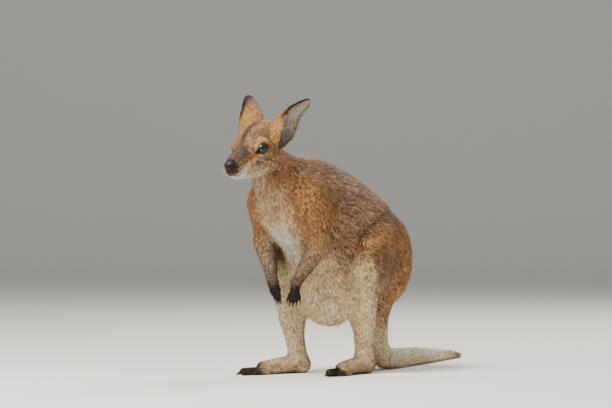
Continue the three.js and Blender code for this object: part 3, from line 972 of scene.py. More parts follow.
class Tone(Enum):
    """The colours of the coat and the bare parts, in linear light."""

    GRIZZLE = tuple(srgb(142, 111, 86))
    SADDLE = tuple(srgb(108, 82, 66))
    RUFOUS = tuple(srgb(152, 106, 62))
    RUST = tuple(srgb(122, 68, 30))
    CREAM = tuple(srgb(226, 189, 145))
    WHITE = tuple(srgb(240, 226, 202))
    BUFF = tuple(srgb(210, 170, 112))
    ASH = tuple(srgb(116, 88, 64))
    SMOKE = tuple(srgb(92, 76, 64))
    PEPPER = tuple(srgb(120, 102, 86))
    SOOT = tuple(srgb(30, 25, 24))
    TAN = tuple(srgb(236, 186, 122))
    ORANGE = tuple(srgb(172, 108, 62))
    PLUM = tuple(srgb(90, 70, 64))
    UMBER = tuple(srgb(84, 60, 46))
    PINK = tuple(srgb(150, 104, 90))
    BLACK = tuple(srgb(14, 11, 11))

    @property
    def rgb(self) -> Array:
        """The colour as an array."""
        return np.array(self.value)


def ripple(
    points: Array, wave: float, seed: int, waves: int = 8, size: float = 2.8, phases: float = 6.28
) -> Array:
    """Smooth noise of about -1 to 1: a sum of sines in random directions, divided by its usual size.

    Args:
        points: places, N by 3.
        wave: the middle one of the wavelengths, in millimetres.
        seed: which noise.
        waves: how many sines.
        size: the usual size of their sum.
        phases: the range of their phases in radians.

    Returns:
        A value for each point.
    """
    rng = np.random.default_rng(seed)
    turn = unit(rng.normal(size=(waves, 3))) * (2 * math.pi / wave) * rng.uniform(0.6, 1.6, (waves, 1))
    return np.sin(points @ turn.T + rng.uniform(0, phases, waves)).sum(1) / size


class Dye:
    """The colours of many places, on which tones are laid one over another."""

    def __init__(self, base: Array, count: int) -> None:
        """Starts with one colour everywhere."""
        self.colours = np.tile(base, (count, 1))

    def lay(self, mask: Array, tone: Tone) -> None:
        """Lays a tone over the colours as far as the mask says, from 0 to 1."""
        self.colours = self.colours + np.clip(mask, 0, 1)[:, None] * (tone.rgb - self.colours)


class Places:
    """What the markings of the body are told from, for many places on the skin."""

    def __init__(self, points: Array, normals: Array, shares: Array) -> None:
        """Works out the measures.

        Args:
            points: places on the skin in millimetres.
            normals: outward directions there.
            shares: how much each region counts there.
        """
        self.points = points
        self.left, self.ahead, self.up = points[:, 0], -points[:, 1], points[:, 2]
        self.front, self.top = -normals[:, 1], normals[:, 2]
        self.outside = normals[:, 0] * np.sign(self.left)
        self.has = {region: shares[:, ORDER[region]] for region in REGIONS}
        self.wander = ripple(points, 46.0, 5) * 0.12
        self.inner = ramp(self.outside, -0.35, -0.8)


@dataclass
class Markings:
    """Where the coat has which colour, with some painted shade and light among the markings; each mask is a product of
    ramps over places and directions.
    """

    pose: Pose
    right_leg_ahead: float = 45.0

    def _back(self, dye: Dye, p: Places) -> None:
        """The dark saddle along the spine, the rufous neck and shoulders, and painted shade on the neck where it faces
        away from the sky.

        Args:
            dye: the colours.
            p: the places.
        """
        spine = ramp(p.top + p.wander, 0.35, 0.95) * ramp(np.abs(p.left), 62, 12)
        dye.lay(0.75 * spine, Tone.SADDLE)
        fore = ramp(p.ahead + 60 * p.wander, 78, 150) * ramp(p.up, 245, 300)
        dye.lay(0.8 * fore, Tone.RUFOUS)
        dye.lay(0.5 * spine * ramp(p.ahead, 190, 120), Tone.SADDLE)
        # painted shade on the sides and underside of the neck, under the head and ears
        dye.lay(0.28 * p.has[Region.NECK] * ramp(p.top, 0.7, 0.1), Tone.UMBER)

    def _front(self, dye: Dye, p: Places) -> None:
        """The cream belly, warmer on the pouch, and the pale breast, whitest low down between the arms.

        Args:
            dye: the colours.
            p: the places.
        """
        edge = np.minimum(255, 178 + 1.1 * (p.ahead - 60))
        dye.lay(ramp(p.up - edge + 60 * p.wander, 26, -26) * ramp(p.ahead, -20, 20), Tone.CREAM)
        pouch = ramp(np.hypot(p.left - 40, p.up - 215), 60, 10) * ramp(p.ahead, 60, 90)
        dye.lay(0.35 * pouch, Tone.BUFF)
        reach = np.abs(p.left) + 90 * p.wander + 26 * ramp(p.up, 330, 400)
        breast = ramp(p.front + 1.5 * p.wander, 0.2, 0.75) * ramp(p.up, 205, 250) * ramp(reach, 66, 30)
        breast = breast * ramp(p.has[Region.ARM] + p.has[Region.FOREARM], 0.75, 0.3)
        dye.lay(0.62 * breast, Tone.CREAM)
        dye.lay(0.3 * breast * ramp(p.up, 320, 370), Tone.PEPPER)
        dye.lay(0.7 * breast * ramp(np.abs(p.left), 40, 12) * ramp(p.up, 330, 285), Tone.WHITE)

    def _arms(self, dye: Dye, p: Places) -> None:
        """Rufous arms, pale inside, that turn to pepper below the elbow, smoke at the wrist and soot.

        Args:
            dye: the colours.
            p: the places.
        """
        dye.lay(0.7 * (p.has[Region.ARM] + p.has[Region.FOREARM]), Tone.RUFOUS)
        dye.lay(0.8 * p.has[Region.ARM] * p.inner, Tone.CREAM)
        lower = p.has[Region.FOREARM] + p.has[Region.HAND]
        dye.lay(0.75 * lower * ramp(p.up + 40 * p.wander, 286, 236), Tone.PEPPER)
        dye.lay(0.8 * p.has[Region.FOREARM] * ramp(p.outside + p.wander, 0.2, -0.5), Tone.PEPPER)
        dye.lay(0.75 * lower * ramp(p.up + 40 * p.wander, 226, 196), Tone.SMOKE)
        dye.lay(0.95 * ramp(p.up, 196, 176) * lower, Tone.SOOT)

    def _thighs(self, dye: Dye, p: Places, back: Array) -> None:
        """Rufous thighs with painted shade in the crease before them, cream in front and rust behind.

        Args:
            dye: the colours.
            p: the places.
            back: how far ahead each place lies, as the left leg stands.
        """
        thigh = p.has[Region.THIGH]
        leg = thigh + p.has[Region.SHANK]
        dye.lay(0.85 * thigh, Tone.RUFOUS)
        # painted shade in the crease where the thigh meets the flank
        dye.lay(0.6 * np.clip(4 * thigh * (1 - thigh), 0, 1) ** 2 * ramp(p.up, 190, 230), Tone.UMBER)
        fair = ramp(p.up - np.minimum(236, 212 + 1.3 * back) + 90 * p.wander, 26, -26)
        dye.lay(0.85 * leg * fair, Tone.CREAM)
        dye.lay(0.5 * thigh * ramp(np.hypot(back + 42, 0.8 * (p.up - 232)), 34, 8), Tone.SMOKE)
        rear = ramp(p.front + p.wander, -0.2, -0.62) * ramp(p.up, 300, 250) * ramp(p.up, 120, 165)
        dye.lay(0.9 * (thigh + p.has[Region.TRUNK]) * rear, Tone.RUST)
        dye.lay(leg * p.inner * ramp(p.up, 250, 190), Tone.CREAM)

    def _shanks(self, dye: Dye, p: Places, back: Array) -> None:
        """Cream shanks, darker behind with painted shade, with the ashen band that runs down them from the thighs.

        Args:
            dye: the colours.
            p: the places.
            back: how far ahead each place lies, as the left leg stands.
        """
        leg = p.has[Region.THIGH] + p.has[Region.SHANK]
        shank = ramp(p.up, 205, 165) * (p.has[Region.SHANK] + p.has[Region.FOOT])
        dye.lay(shank, Tone.CREAM)
        # painted shade on the backs of the shanks, where they face away from the light
        dye.lay(0.7 * shank * ramp(p.front, 0.05, -0.6), Tone.ASH)
        band = ramp(np.abs(back - 12 + 0.31 * (225 - p.up)) + 60 * p.wander, 50, 26)
        band = band * ramp(p.up, 90, 150) * ramp(p.up, 268, 238)
        dye.lay(0.85 * leg * band * ramp(p.outside, -0.1, 0.3), Tone.ASH)

    def _feet(self, dye: Dye, p: Places) -> None:
        """Feet that are darker low down, near the ground, and soot over the toes.

        Args:
            dye: the colours.
            p: the places.
        """
        foot = p.has[Region.FOOT]
        # darker towards the ground
        dye.lay(0.35 * foot * ramp(p.up, 30, 14), Tone.ASH)
        for side, s in SIDES.items():
            leg = self.pose.legs[side]
            down_foot = (p.points - leg.heel) @ unit(leg.toe - leg.heel)
            toes = ramp(down_foot + 60 * p.wander, 92, 128)
            dye.lay(0.95 * (np.sign(p.left) == s) * foot * toes, Tone.SOOT)

    def _tail(self, dye: Dye, p: Places) -> None:
        """A cream tail, rust at its root, whiter on top with painted light and darker beneath with painted shade, and
        smoke at its tip.

        Args:
            dye: the colours.
            p: the places.
        """
        tail = p.has[Region.TAIL]
        dye.lay(tail * ramp(p.up, 150, 90), Tone.CREAM)
        dye.lay(0.6 * tail * ramp(p.up, 250, 180) * ramp(p.up, 70, 110), Tone.RUST)
        # painted light: paler where the low part of the tail faces up
        dye.lay(0.35 * tail * ramp(p.up, 110, 60) * ramp(p.top, -0.3, 0.4), Tone.WHITE)
        # painted shade: darker where the tail faces down
        dye.lay(0.25 * tail * ramp(p.top, -0.4, -0.9), Tone.ASH)
        dye.lay(0.8 * tail * ramp(p.ahead, -430, -620), Tone.SMOKE)

    def body(self, points: Array, normals: Array, shares: Array) -> Array:
        """Colours of everything behind the head.

        Args:
            points: places on the skin in millimetres.
            normals: outward directions there.
            shares: how much each region counts there.

        Returns:
            Linear colours, N by 3.
        """
        p = Places(points, normals, shares)
        dye = Dye(Tone.GRIZZLE.rgb, len(points))
        back = p.ahead - np.where(p.left > 0, 0.0, self.right_leg_ahead)
        self._back(dye, p)
        self._front(dye, p)
        self._arms(dye, p)
        self._thighs(dye, p, back)
        self._shanks(dye, p, back)
        self._feet(dye, p)
        self._tail(dye, p)
        mottle = 0.1 * ripple(points, 30.0, 9) + 0.06 * ripple(points, 11.0, 10)
        return dye.colours * (1.0 + mottle)[:, None]

    def head(self, points: Array) -> Array:
        """Colours of the head, told from how far ahead, out and up a place lies in the head's own frame.

        Args:
            points: places on the skin in millimetres.

        Returns:
            Linear colours, N by 3.
        """
        q = self.pose.head.local(points)
        ahead, out, up = q[:, 0], np.abs(q[:, 1]), q[:, 2]
        wander = ripple(points, 17.0, 21)
        dye = Dye(0.5 * Tone.GRIZZLE.rgb + 0.42 * Tone.RUFOUS.rgb, len(points))
        ear_root = ramp(np.hypot(ahead + 52, out - 22), 26, 10)
        dye.lay(0.75 * ramp(ahead, -48, -66) + 0.5 * ear_root, Tone.RUFOUS)

        patch = ramp(np.hypot((ahead - 20) / 25, (up + 9 + 0.12 * ahead) / 12), 1.15, 0.6)
        dye.lay(0.85 * (patch * ramp(out, 6, 12)), Tone.ORANGE)
        stripe = ramp(np.abs(up + 18.5 + 0.10 * (ahead - 30) + wander), 8.5, 3.5) * ramp(ahead, -34, -4)
        dye.lay(0.7 * stripe * ramp(ahead, 76, 60) * ramp(ahead, -20, 30), Tone.CREAM)
        dye.lay(0.7 * ramp(up + 0.04 * ahead + wander, -30, -38), Tone.CREAM)
        # painted shadow along the lower edge of the jaw, above the throat
        jaw = ramp(np.abs(up + 39 + wander), 5.5, 1.5) * ramp(ahead, -40, -10) * ramp(ahead, 52, 30)
        dye.lay(0.5 * jaw, Tone.SMOKE)
        dye.lay(0.95 * ramp(up, -18, -25) * ramp(ahead, 40, 56), Tone.WHITE)
        dye.lay(0.3 * ramp(up, -10, -30) * ramp(ahead, 14, -16), Tone.ASH)

        bridge = ramp(up - 0.02 * (70 - ahead) + wander, -7, 1) * ramp(ahead, 16, 34) * ramp(out, 22, 13)
        dye.lay(0.9 * bridge, Tone.PLUM)
        snout = ramp(ahead + 0.4 * wander, 62, 72) * ramp(up, -21, -14)
        dye.lay(0.85 * snout, Tone.SOOT)
        crown = ramp(out + 0.4 * wander, 8.0, 3.0) * ramp(up, 10, 20)
        dye.lay(0.9 * (crown * ramp(ahead, -58, -34) * ramp(ahead, 34, 22)), Tone.UMBER)
        for side in SIDES:
            self._round_eye(dye, Eye(side, self.pose).frame().local(points))
        return dye.colours * (1.0 + 0.1 * ripple(points, 9.0, 23))[:, None]

    @staticmethod
    def _round_eye(dye: Dye, e: Array) -> None:
        """The tan arch over an eye, the soot round its lids and the streak from its inner corner.

        Args:
            dye: the colours.
            e: the places in the eye's frame: out, towards the nose and up.
        """
        out, nose, up = e[:, 0], e[:, 1], e[:, 2]
        near = ramp(out, -18, -9)
        arch = ramp(np.abs(np.hypot(0.85 * nose, up) - 15.5), 4.8, 2.0) * ramp(up, 0, 6)
        dye.lay(0.9 * (arch * ramp(out, -30, -20) * ramp(np.abs(nose), 22, 14)), Tone.TAN)
        dye.lay(0.95 * near * ramp(np.hypot((nose - 2.5) / 17.0, up / 7.6), 1.1, 0.9), Tone.SOOT)
        tear = ramp(np.abs(up + 4 + 0.3 * (nose - 14)), 3.0, 1.0) * ramp(nose, 10, 13)
        dye.lay(0.8 * near * tear * ramp(nose, 24, 17), Tone.UMBER)

    def colours(self, points: Array, normals: Array, shares: Array) -> Array:
        """Colours of the whole skin, with the head's own over the body's.

        Args:
            points: places on the skin in millimetres.
            normals: outward directions there.
            shares: how much each region counts there.

        Returns:
            Linear colours, N by 3.
        """
        c = self.body(points, normals, shares)
        share = shares[:, ORDER[Region.HEAD]] + shares[:, ORDER[Region.MUZZLE]]
        return c + ramp(share, 0.25, 0.75)[:, None] * (self.head(points) - c)


# ------------------------------------------------------------------------------------- skin


@dataclass
class Grid:
    """A field sampled on grid lines, read in between by threes of straight lines."""

    axes: tuple[Array, Array, Array]
    values: Array

    def read(self, points: Array) -> Array:
        """The field at these places.

        Args:
            points: places, any shape ending in 3.

        Returns:
            A value for each.
        """
        low, part = [], []
        for axis, lines in enumerate(self.axes):
            i = np.clip(np.searchsorted(lines, points[..., axis]) - 1, 0, len(lines) - 2)
            low.append(i)
            part.append((points[..., axis] - lines[i]) / (lines[i + 1] - lines[i]))
        total = np.zeros(points.shape[:-1])
        for c in np.ndindex(2, 2, 2):
            weight = np.ones(points.shape[:-1])
            for axis in range(3):
                weight = weight * (part[axis] if c[axis] else 1.0 - part[axis])
            total += weight * self.values[tuple(low[a] + c[a] for a in range(3))]
        return total

    def slope(self, points: Array, step: float = 2.0) -> Array:
        """The outward unit direction of the field, from central differences."""
        shifts = np.eye(3) * step
        return unit(np.stack([self.read(points + e) - self.read(points - e) for e in shifts], -1))


@dataclass
class Roots:
    """Places where tufts grow, with one row for each in every array."""

    spot: Array
    normal: Array
    lie: Array
    length: Array
    width: Array
    rise: Array
    paint: Array

    def pick(self, which: Array) -> "Roots":
        """Some of the rows."""
        return Roots(*(getattr(self, name)[which] for name in self.__dataclass_fields__))

    @classmethod
    def joined(cls, sorts: "list[Roots]") -> "Roots":
        """Several sorts of roots as one."""
        names = cls.__dataclass_fields__
        return cls(*(np.concatenate([getattr(sort, name) for sort in sorts]) for name in names))

    def __len__(self) -> int:
        """How many tufts."""
        return len(self.spot)


class Skin:
    """The one skin of the animal, and all that the coat has to know about it.

    FLOOR is the height of the flats that it rests on, SHADE how dark it is under the coat, and XS, YS and
    ZS are stops of the grid, closer together where there are fingers, toes and a face.
    """

    FLOOR = 0.6
    SHADE = 0.6
    XS = [(-216, 4), (-46, 2.2), (46, 4), (128, 4)]
    YS = [(-392, 2.2), (-226, 2.8), (-130, 4), (130, 6), (628, 6)]
    ZS = [(-6, 2.4), (40, 4), (130, 3.2), (206, 4.2), (376, 2.2), (522, 4)]

    def __init__(self, body: Body, space: Space) -> None:
        """Finds the surface of the flesh, drawn in by the coat, and dresses its points.

        Args:
            body: the flesh.
            space: the way into the frame.
        """
        self.body, self.space = body, space
        xs, ys, zs = (spaced(stops) for stops in (self.XS, self.YS, self.ZS))
        values = body.flesh.sampled(xs, ys, zs)
        values = np.maximum(values, self.FLOOR - zs[None, None, :])
        for side in (0, -1):
            values[side] = values[:, side] = values[:, :, side] = 30.0
        self.grid = Grid((xs, ys, zs), values)
        points, self.quads = surface_of(values, xs, ys, zs)
        for _ in range(2):
            off = body.flesh.distance(points)
            move = body.flesh.slope(points) * np.clip(off, -1.5, 1.5)[:, None]
            free = points[:, 2] > self.FLOOR + 0.5
            points[free] -= move[free]
            points[:, 2] = np.maximum(points[:, 2], self.FLOOR)
        self.points = points
        self.normals = body.flesh.slope(points)
        self.shares, lie = body.flesh.mixture(points)
        self.lie = unit(lie - (lie * self.normals).sum(1, keepdims=True) * self.normals)
        self.colours = Markings(body.pose).colours(points, self.normals, self.shares)

    def build(self, material: bpy.types.Material, *nodes: str) -> None:
        """Makes the skin's piece, which stands for every node of flesh."""
        mesh = new_mesh("skin", self.space.metres(self.points), self.quads, self.colours * self.SHADE)
        add_piece(mesh, "coat_back", material, *nodes)

    def settle(self, points: Array, target: Array) -> Array:
        """Moves places along the field's slope so that they lie this far outside the skin."""
        return points + self.grid.slope(points) * (target - self.grid.read(points))[..., None]

    def roots(self, rng: np.random.Generator) -> tuple[Roots, Array]:
        """Strews roots over the skin, as densely as the coat of each region asks.

        Args:
            rng: the source of chance.

        Returns:
            The roots, and the shares of the regions at them.
        """
        tris = np.concatenate([self.quads[:, [0, 1, 2]], self.quads[:, [0, 2, 3]]])
        a, b, c = (self.points[tris[:, i]] for i in range(3))
        area = np.linalg.norm(np.cross(b - a, c - a), axis=1) / 2
        middle = (a + b + c) / 3
        area[middle[:, 2] < self.FLOOR + 0.4] = 0
        facts = np.array([[r.value.density, r.value.length, r.value.width, r.value.depth] for r in REGIONS])
        want = area * (self.shares[tris].mean(1) @ facts[:, 0])
        count = np.floor(want + rng.random(len(want))).astype(int)
        which = np.repeat(np.arange(len(tris)), count)
        w = rng.random((len(which), 2))
        w = np.where(w.sum(1, keepdims=True) > 1, 1 - w, w)
        w = np.c_[1 - w.sum(1), w][:, :, None]

        def between(values: Array) -> Array:
            """A field at the roots, from its values at the corners of their triangles."""
            return (values[tris[which]] * w).sum(1)

        shares = between(self.shares)
        _, length, width, depth = (shares @ facts).T
        normal, lie = unit(between(self.normals)), unit(between(self.lie))
        return Roots(between(self.points), normal, lie, length, width, depth, between(self.colours)), shares


# ------------------------------------------------------------------------------------- tufts


@dataclass
class Chart:
    """An unwrap of a part of the skin: how far along a bent line a place lies, and the angle about it."""

    line: list[Array]

    def places(self, points: Array) -> Array:
        """How far along the line, and the angle about the nearest piece of it.

        Args:
            points: places on the skin, N by 3.

        Returns:
            The angle in radians and the distance along, N by 2.
        """
        best = np.full(len(points), np.inf)
        uv, run = np.zeros((len(points), 2)), 0.0
        for a, b in zip(self.line, self.line[1:]):
            size = np.linalg.norm(b - a)
            axis = (b - a) / size
            helper = np.array([1.0, 0.0, 0.0]) if abs(axis[0]) < 0.8 else np.array([0.0, 0.0, 1.0])
            across = unit(helper - axis * (helper @ axis))
            q = points - a
            t = q @ axis
            off = q - np.clip(t, 0, size)[:, None] * axis
            far = (off**2).sum(1)
            angle = np.arctan2(q @ np.cross(axis, across), q @ across)
            nearer = far < best
            uv[nearer] = np.c_[angle, run + t][nearer]
            best = np.minimum(best, far)
            run += size
        return uv


@dataclass
class Coats:
    """Makes joined tufts into pieces of the coat.

    A tuft has five points, two at its root, two at its middle and one at its tip. STEPS gives how far along
    and how wide each is, SHADE how light: darker at the root, for the painted shade among the tufts and for the
    hairs' own darker bases, and brightest at the pale band of the tip. PATCH gives where it lies on the unwrap
    from its root's place. No point is below the lowest height, and shares of the tufts are strays, pale or
    dark. Roots keep to the first margin from the open eye, in degrees, and tips to the second; the end of the
    nose is bare.
    """

    space: Space
    material: bpy.types.Material
    rng: np.random.Generator
    most: int = 62000
    lowest: float = 0.25
    strays: float = 0.05
    pale_share: float = 0.2
    dark_share: float = 0.3
    lid_margin: float = 7.0
    lash_margin: float = 4.0
    bare_nose: tuple[float, float, float] = (14.0, 13.0, 13.0)

    PATCH = np.array([[-1, -1], [1, -1], [-1, 0], [1, 0], [0, 1]]) * 0.0015
    FACES = np.array([[0, 1, 3], [0, 3, 2], [2, 3, 4]])
    STEPS = ((0.0, 1.0), (0.0, 1.0), (0.5, 0.85), (0.5, 0.85), (1.0, 0.0))
    # darker roots: painted shade among the tufts and the hairs' own darker bases; the bright tip is their pale band
    SHADE = np.array([0.35, 0.35, 0.85, 0.85, 1.5])

    def bent(self, roots: Roots, skin: Skin | None) -> tuple[Array, Array]:
        """Bends each tuft so that it rises from its root and lies down along the body.

        A place t of the way along a tuft is (1 - (1 - t) to the power of 1.7) of its rise above the skin.

        Args:
            roots: where the tufts grow.
            skin: the skin whose shape they follow, or None for tufts on a thin sheet.

        Returns:
            Points and shading normals, each N by 5 by 3.
        """
        rng, n = self.rng, len(roots)
        swing = 0.18 * rng.normal(size=n) + 0.16 * ripple(roots.spot, 34.0, 31)
        swing = swing + 0.2 * ripple(roots.spot, 9.0, 32)
        side = unit(np.cross(roots.lie, roots.normal))
        lie = unit(roots.lie + swing[:, None] * side)
        side = unit(np.cross(lie, roots.normal))
        length = roots.length * rng.uniform(0.7, 1.15, n)
        stray = rng.random(n) < self.strays
        length = length * np.where(stray, 1.25, 1.0)
        rise = roots.rise * (rng.uniform(0.55, 1.2, n) + 0.22 * ripple(roots.spot, 8.0, 33))
        rise = rise * np.where(stray, 1.9, 1.0)
        width = roots.width * rng.uniform(0.75, 1.25, n)
        points, normals = np.empty((n, 5, 3)), np.empty((n, 5, 3))
        tilt = side * rng.normal(0, 0.32, n)[:, None] + lie * rng.normal(0.1, 0.2, n)[:, None]
        for i, (t, wide) in enumerate(self.STEPS):
            high = rise * (1 - (1 - t) ** 1.7) - 0.35 * (1 - t)
            centre = roots.spot + lie * (length * t)[:, None]
            if skin and t:
                centre = skin.settle(centre, high)
                up = skin.grid.slope(centre)
            else:
                centre = centre + roots.normal * high[:, None]
                up = roots.normal
            turn = 1.0 if i % 2 else -1.0
            points[:, i] = centre + side * (turn * wide * width / 2)[:, None]
            normals[:, i] = unit(up + tilt)
        points[..., 2] = np.maximum(points[..., 2], self.lowest)
        return points, normals

    def dyed(self, roots: Roots) -> Array:
        """Colours of the tufts: some are pale and some dark, most strongly where the coat is dark.

        Args:
            roots: where the tufts grow.

        Returns:
            Linear colours, N by 5 by 3.
        """
        rng, n = self.rng, len(roots)
        clumps = 0.24 * ripple(roots.spot, 6.5, 34) + 0.42 * ripple(roots.spot, 4.2, 35)
        tint = np.exp(rng.normal(0, 0.28, n) + clumps)
        ticking = ramp(roots.paint.mean(1), 0.35, 0.12)
        pale, dark = tint * (1.4 + 0.5 * ticking), tint * (0.42 - 0.14 * ticking)
        is_pale, is_dark = rng.random(n) < self.pale_share, rng.random(n) < self.dark_share
        tint = np.where(is_pale, pale, np.where(is_dark, dark, tint))
        warm = rng.normal(0, 0.05, n)[:, None]
        colours = roots.paint[:, None] * self.SHADE[None, :, None] * tint[:, None, None]
        return np.clip(colours * (1 + np.stack([warm, warm * 0, -warm], -1)), 0.0, 0.92)

    def unwrap(self, mesh: bpy.types.Mesh, chart: Array) -> None:
        """Gives each tuft its patch of the map for baking, round the place of its root on the unwrap.

        Args:
            mesh: the joined tufts.
            chart: the place of each root on the unwrap, N by 2, of any size.
        """
        low, high = chart.min(0), chart.max(0)
        middle = 0.004 + 0.992 * (chart - low) / np.maximum(high - low, 1e-6)
        corner = (middle[:, None] + self.PATCH).reshape(-1, 2)
        index = np.empty(len(mesh.loops), dtype=np.int32)
        mesh.loops.foreach_get("vertex_index", index)
        layer = mesh.uv_layers.new(name="OFBake")
        layer.data.foreach_set("uv", np.clip(corner[index], 0, 1).astype(np.float32).ravel())

    def piece(self, name: str, slot: str, roots: Roots, chart: Chart, skin: Skin | None) -> None:
        """Adds pieces of joined tufts.

        Args:
            name: what the pieces are called, with a number after it where there are several.
            slot: the record's slot.
            roots: where the tufts grow.
            chart: the unwrap of the skin there.
            skin: the skin that they follow, or None for a thin sheet.
        """
        places = chart.places(roots.spot)
        parts = np.array_split(np.argsort(roots.spot[:, 1]), math.ceil(len(roots) / self.most))
        for i, which in enumerate(parts):
            some = roots.pick(which)
            points, normals = (a.reshape(-1, 3) for a in self.bent(some, skin))
            colours = self.dyed(some).reshape(-1, 3)
            faces = (np.arange(len(some))[:, None, None] * len(self.STEPS) + self.FACES).reshape(-1, 3)
            a, b, c = (points[faces[:, k]] for k in range(3))
            wrong = (np.cross(b - a, c - a) * normals[faces[:, 2]]).sum(1) < 0
            faces[wrong] = faces[wrong][:, ::-1]
            title = name if len(parts) == 1 else f"{name}_{i + 1}"
            mesh = new_mesh(title, self.space.metres(points), faces, colours)
            self.unwrap(mesh, places[which])
            mesh.normals_split_custom_set_from_vertices(normals.astype(np.float32))
            add_piece(mesh, slot, self.material)

    def cover(self, skin: Skin, eyes: "list[Eye]") -> None:
        """Grows the coat over the skin, save on the open eyes, their lids and the pad of the nose.

        Args:
            skin: what it grows on.
            eyes: both eyes.
        """
        pose = skin.body.pose
        roots, shares = skin.roots(self.rng)
        log.info("roots: %d", len(roots))
        keep = Oval(pose.nose_pad(), self.bare_nose).distance(roots.spot) > 0
        tips = roots.spot + roots.lie * roots.length[:, None] * 0.7
        for eye in eyes:
            keep &= ~eye.covers(roots.spot, self.lid_margin) & ~eye.covers(tips, self.lash_margin)
        roots, best = roots.pick(keep), shares[keep].argmax(1)
        across = roots.spot[:, 0].copy()
        on_head = np.isin(best, [ORDER[Region.HEAD], ORDER[Region.MUZZLE]])
        across[on_head] = pose.head.local(roots.spot[on_head])[:, 1]
        for plot in plots(pose):
            which = np.isin(best, [ORDER[region] for region in plot.regions])
            if plot.side:
                which &= across * plot.side > 0
            self.piece(plot.name, plot.slot, roots.pick(which), Chart(plot.line), skin)


@dataclass(frozen=True)
class Plot:
    """One piece of the coat: its regions, its side (0 for both) and the bent line that it unwraps round."""

    name: str
    slot: str
    regions: list[Region]
    side: float
    line: list[Array]


def plots(pose: Pose) -> list[Plot]:
    """The pieces of the coat.

    Args:
        pose: the measured places of the body.

    Returns:
        Every piece of the coat but those of the ears, in the order in which they are made.
    """
    head_line = [pose.head.place(-80, 0, 0), pose.head.place(90, 0, -8)]
    found = []
    for side, s in SIDES.items():
        a, g = pose.arms[side], pose.legs[side]
        for part, slot, regions, line in (
            ("head", "coat_head", [Region.HEAD, Region.MUZZLE], head_line),
            ("arm", "coat_arms", [Region.ARM, Region.FOREARM], [a.shoulder, a.elbow, a.wrist]),
            ("hand", "coat_hands", [Region.HAND], [a.wrist, a.fingers]),
            ("thigh", "coat_thighs", [Region.THIGH], [g.hip, g.knee]),
            ("shank", "coat_shanks", [Region.SHANK], [g.knee, g.shin, g.ankle]),
            ("foot", "coat_feet", [Region.FOOT], [g.heel, g.ball, g.toe]),
        ):
            found.append(Plot(f"coat_{part}_{side}", slot, regions, s, line))
    nape = [at(4, 242, 440), at(0, 184, 376), at(0, 100, 360)]
    spine = [at(0, 170, 350), at(0, 62, 310), at(0, -60, 240)]
    return found + [
        Plot("coat_neck", "coat_neck", [Region.NECK], 0.0, nape),
        Plot("coat_trunk", "coat_back", [Region.TRUNK], 0.0, spine),
        Plot("coat_tail", "coat_tail", [Region.TAIL], 0.0, [place for place, _ in pose.tail]),
    ]


# ------------------------------------------------------------------------------------- ears


@dataclass(frozen=True)
class EarHair:
    """One kind of hair on the leaf of an ear, in millimetres."""

    inner: bool
    count: int
    length: float
    width: float
    rise: float


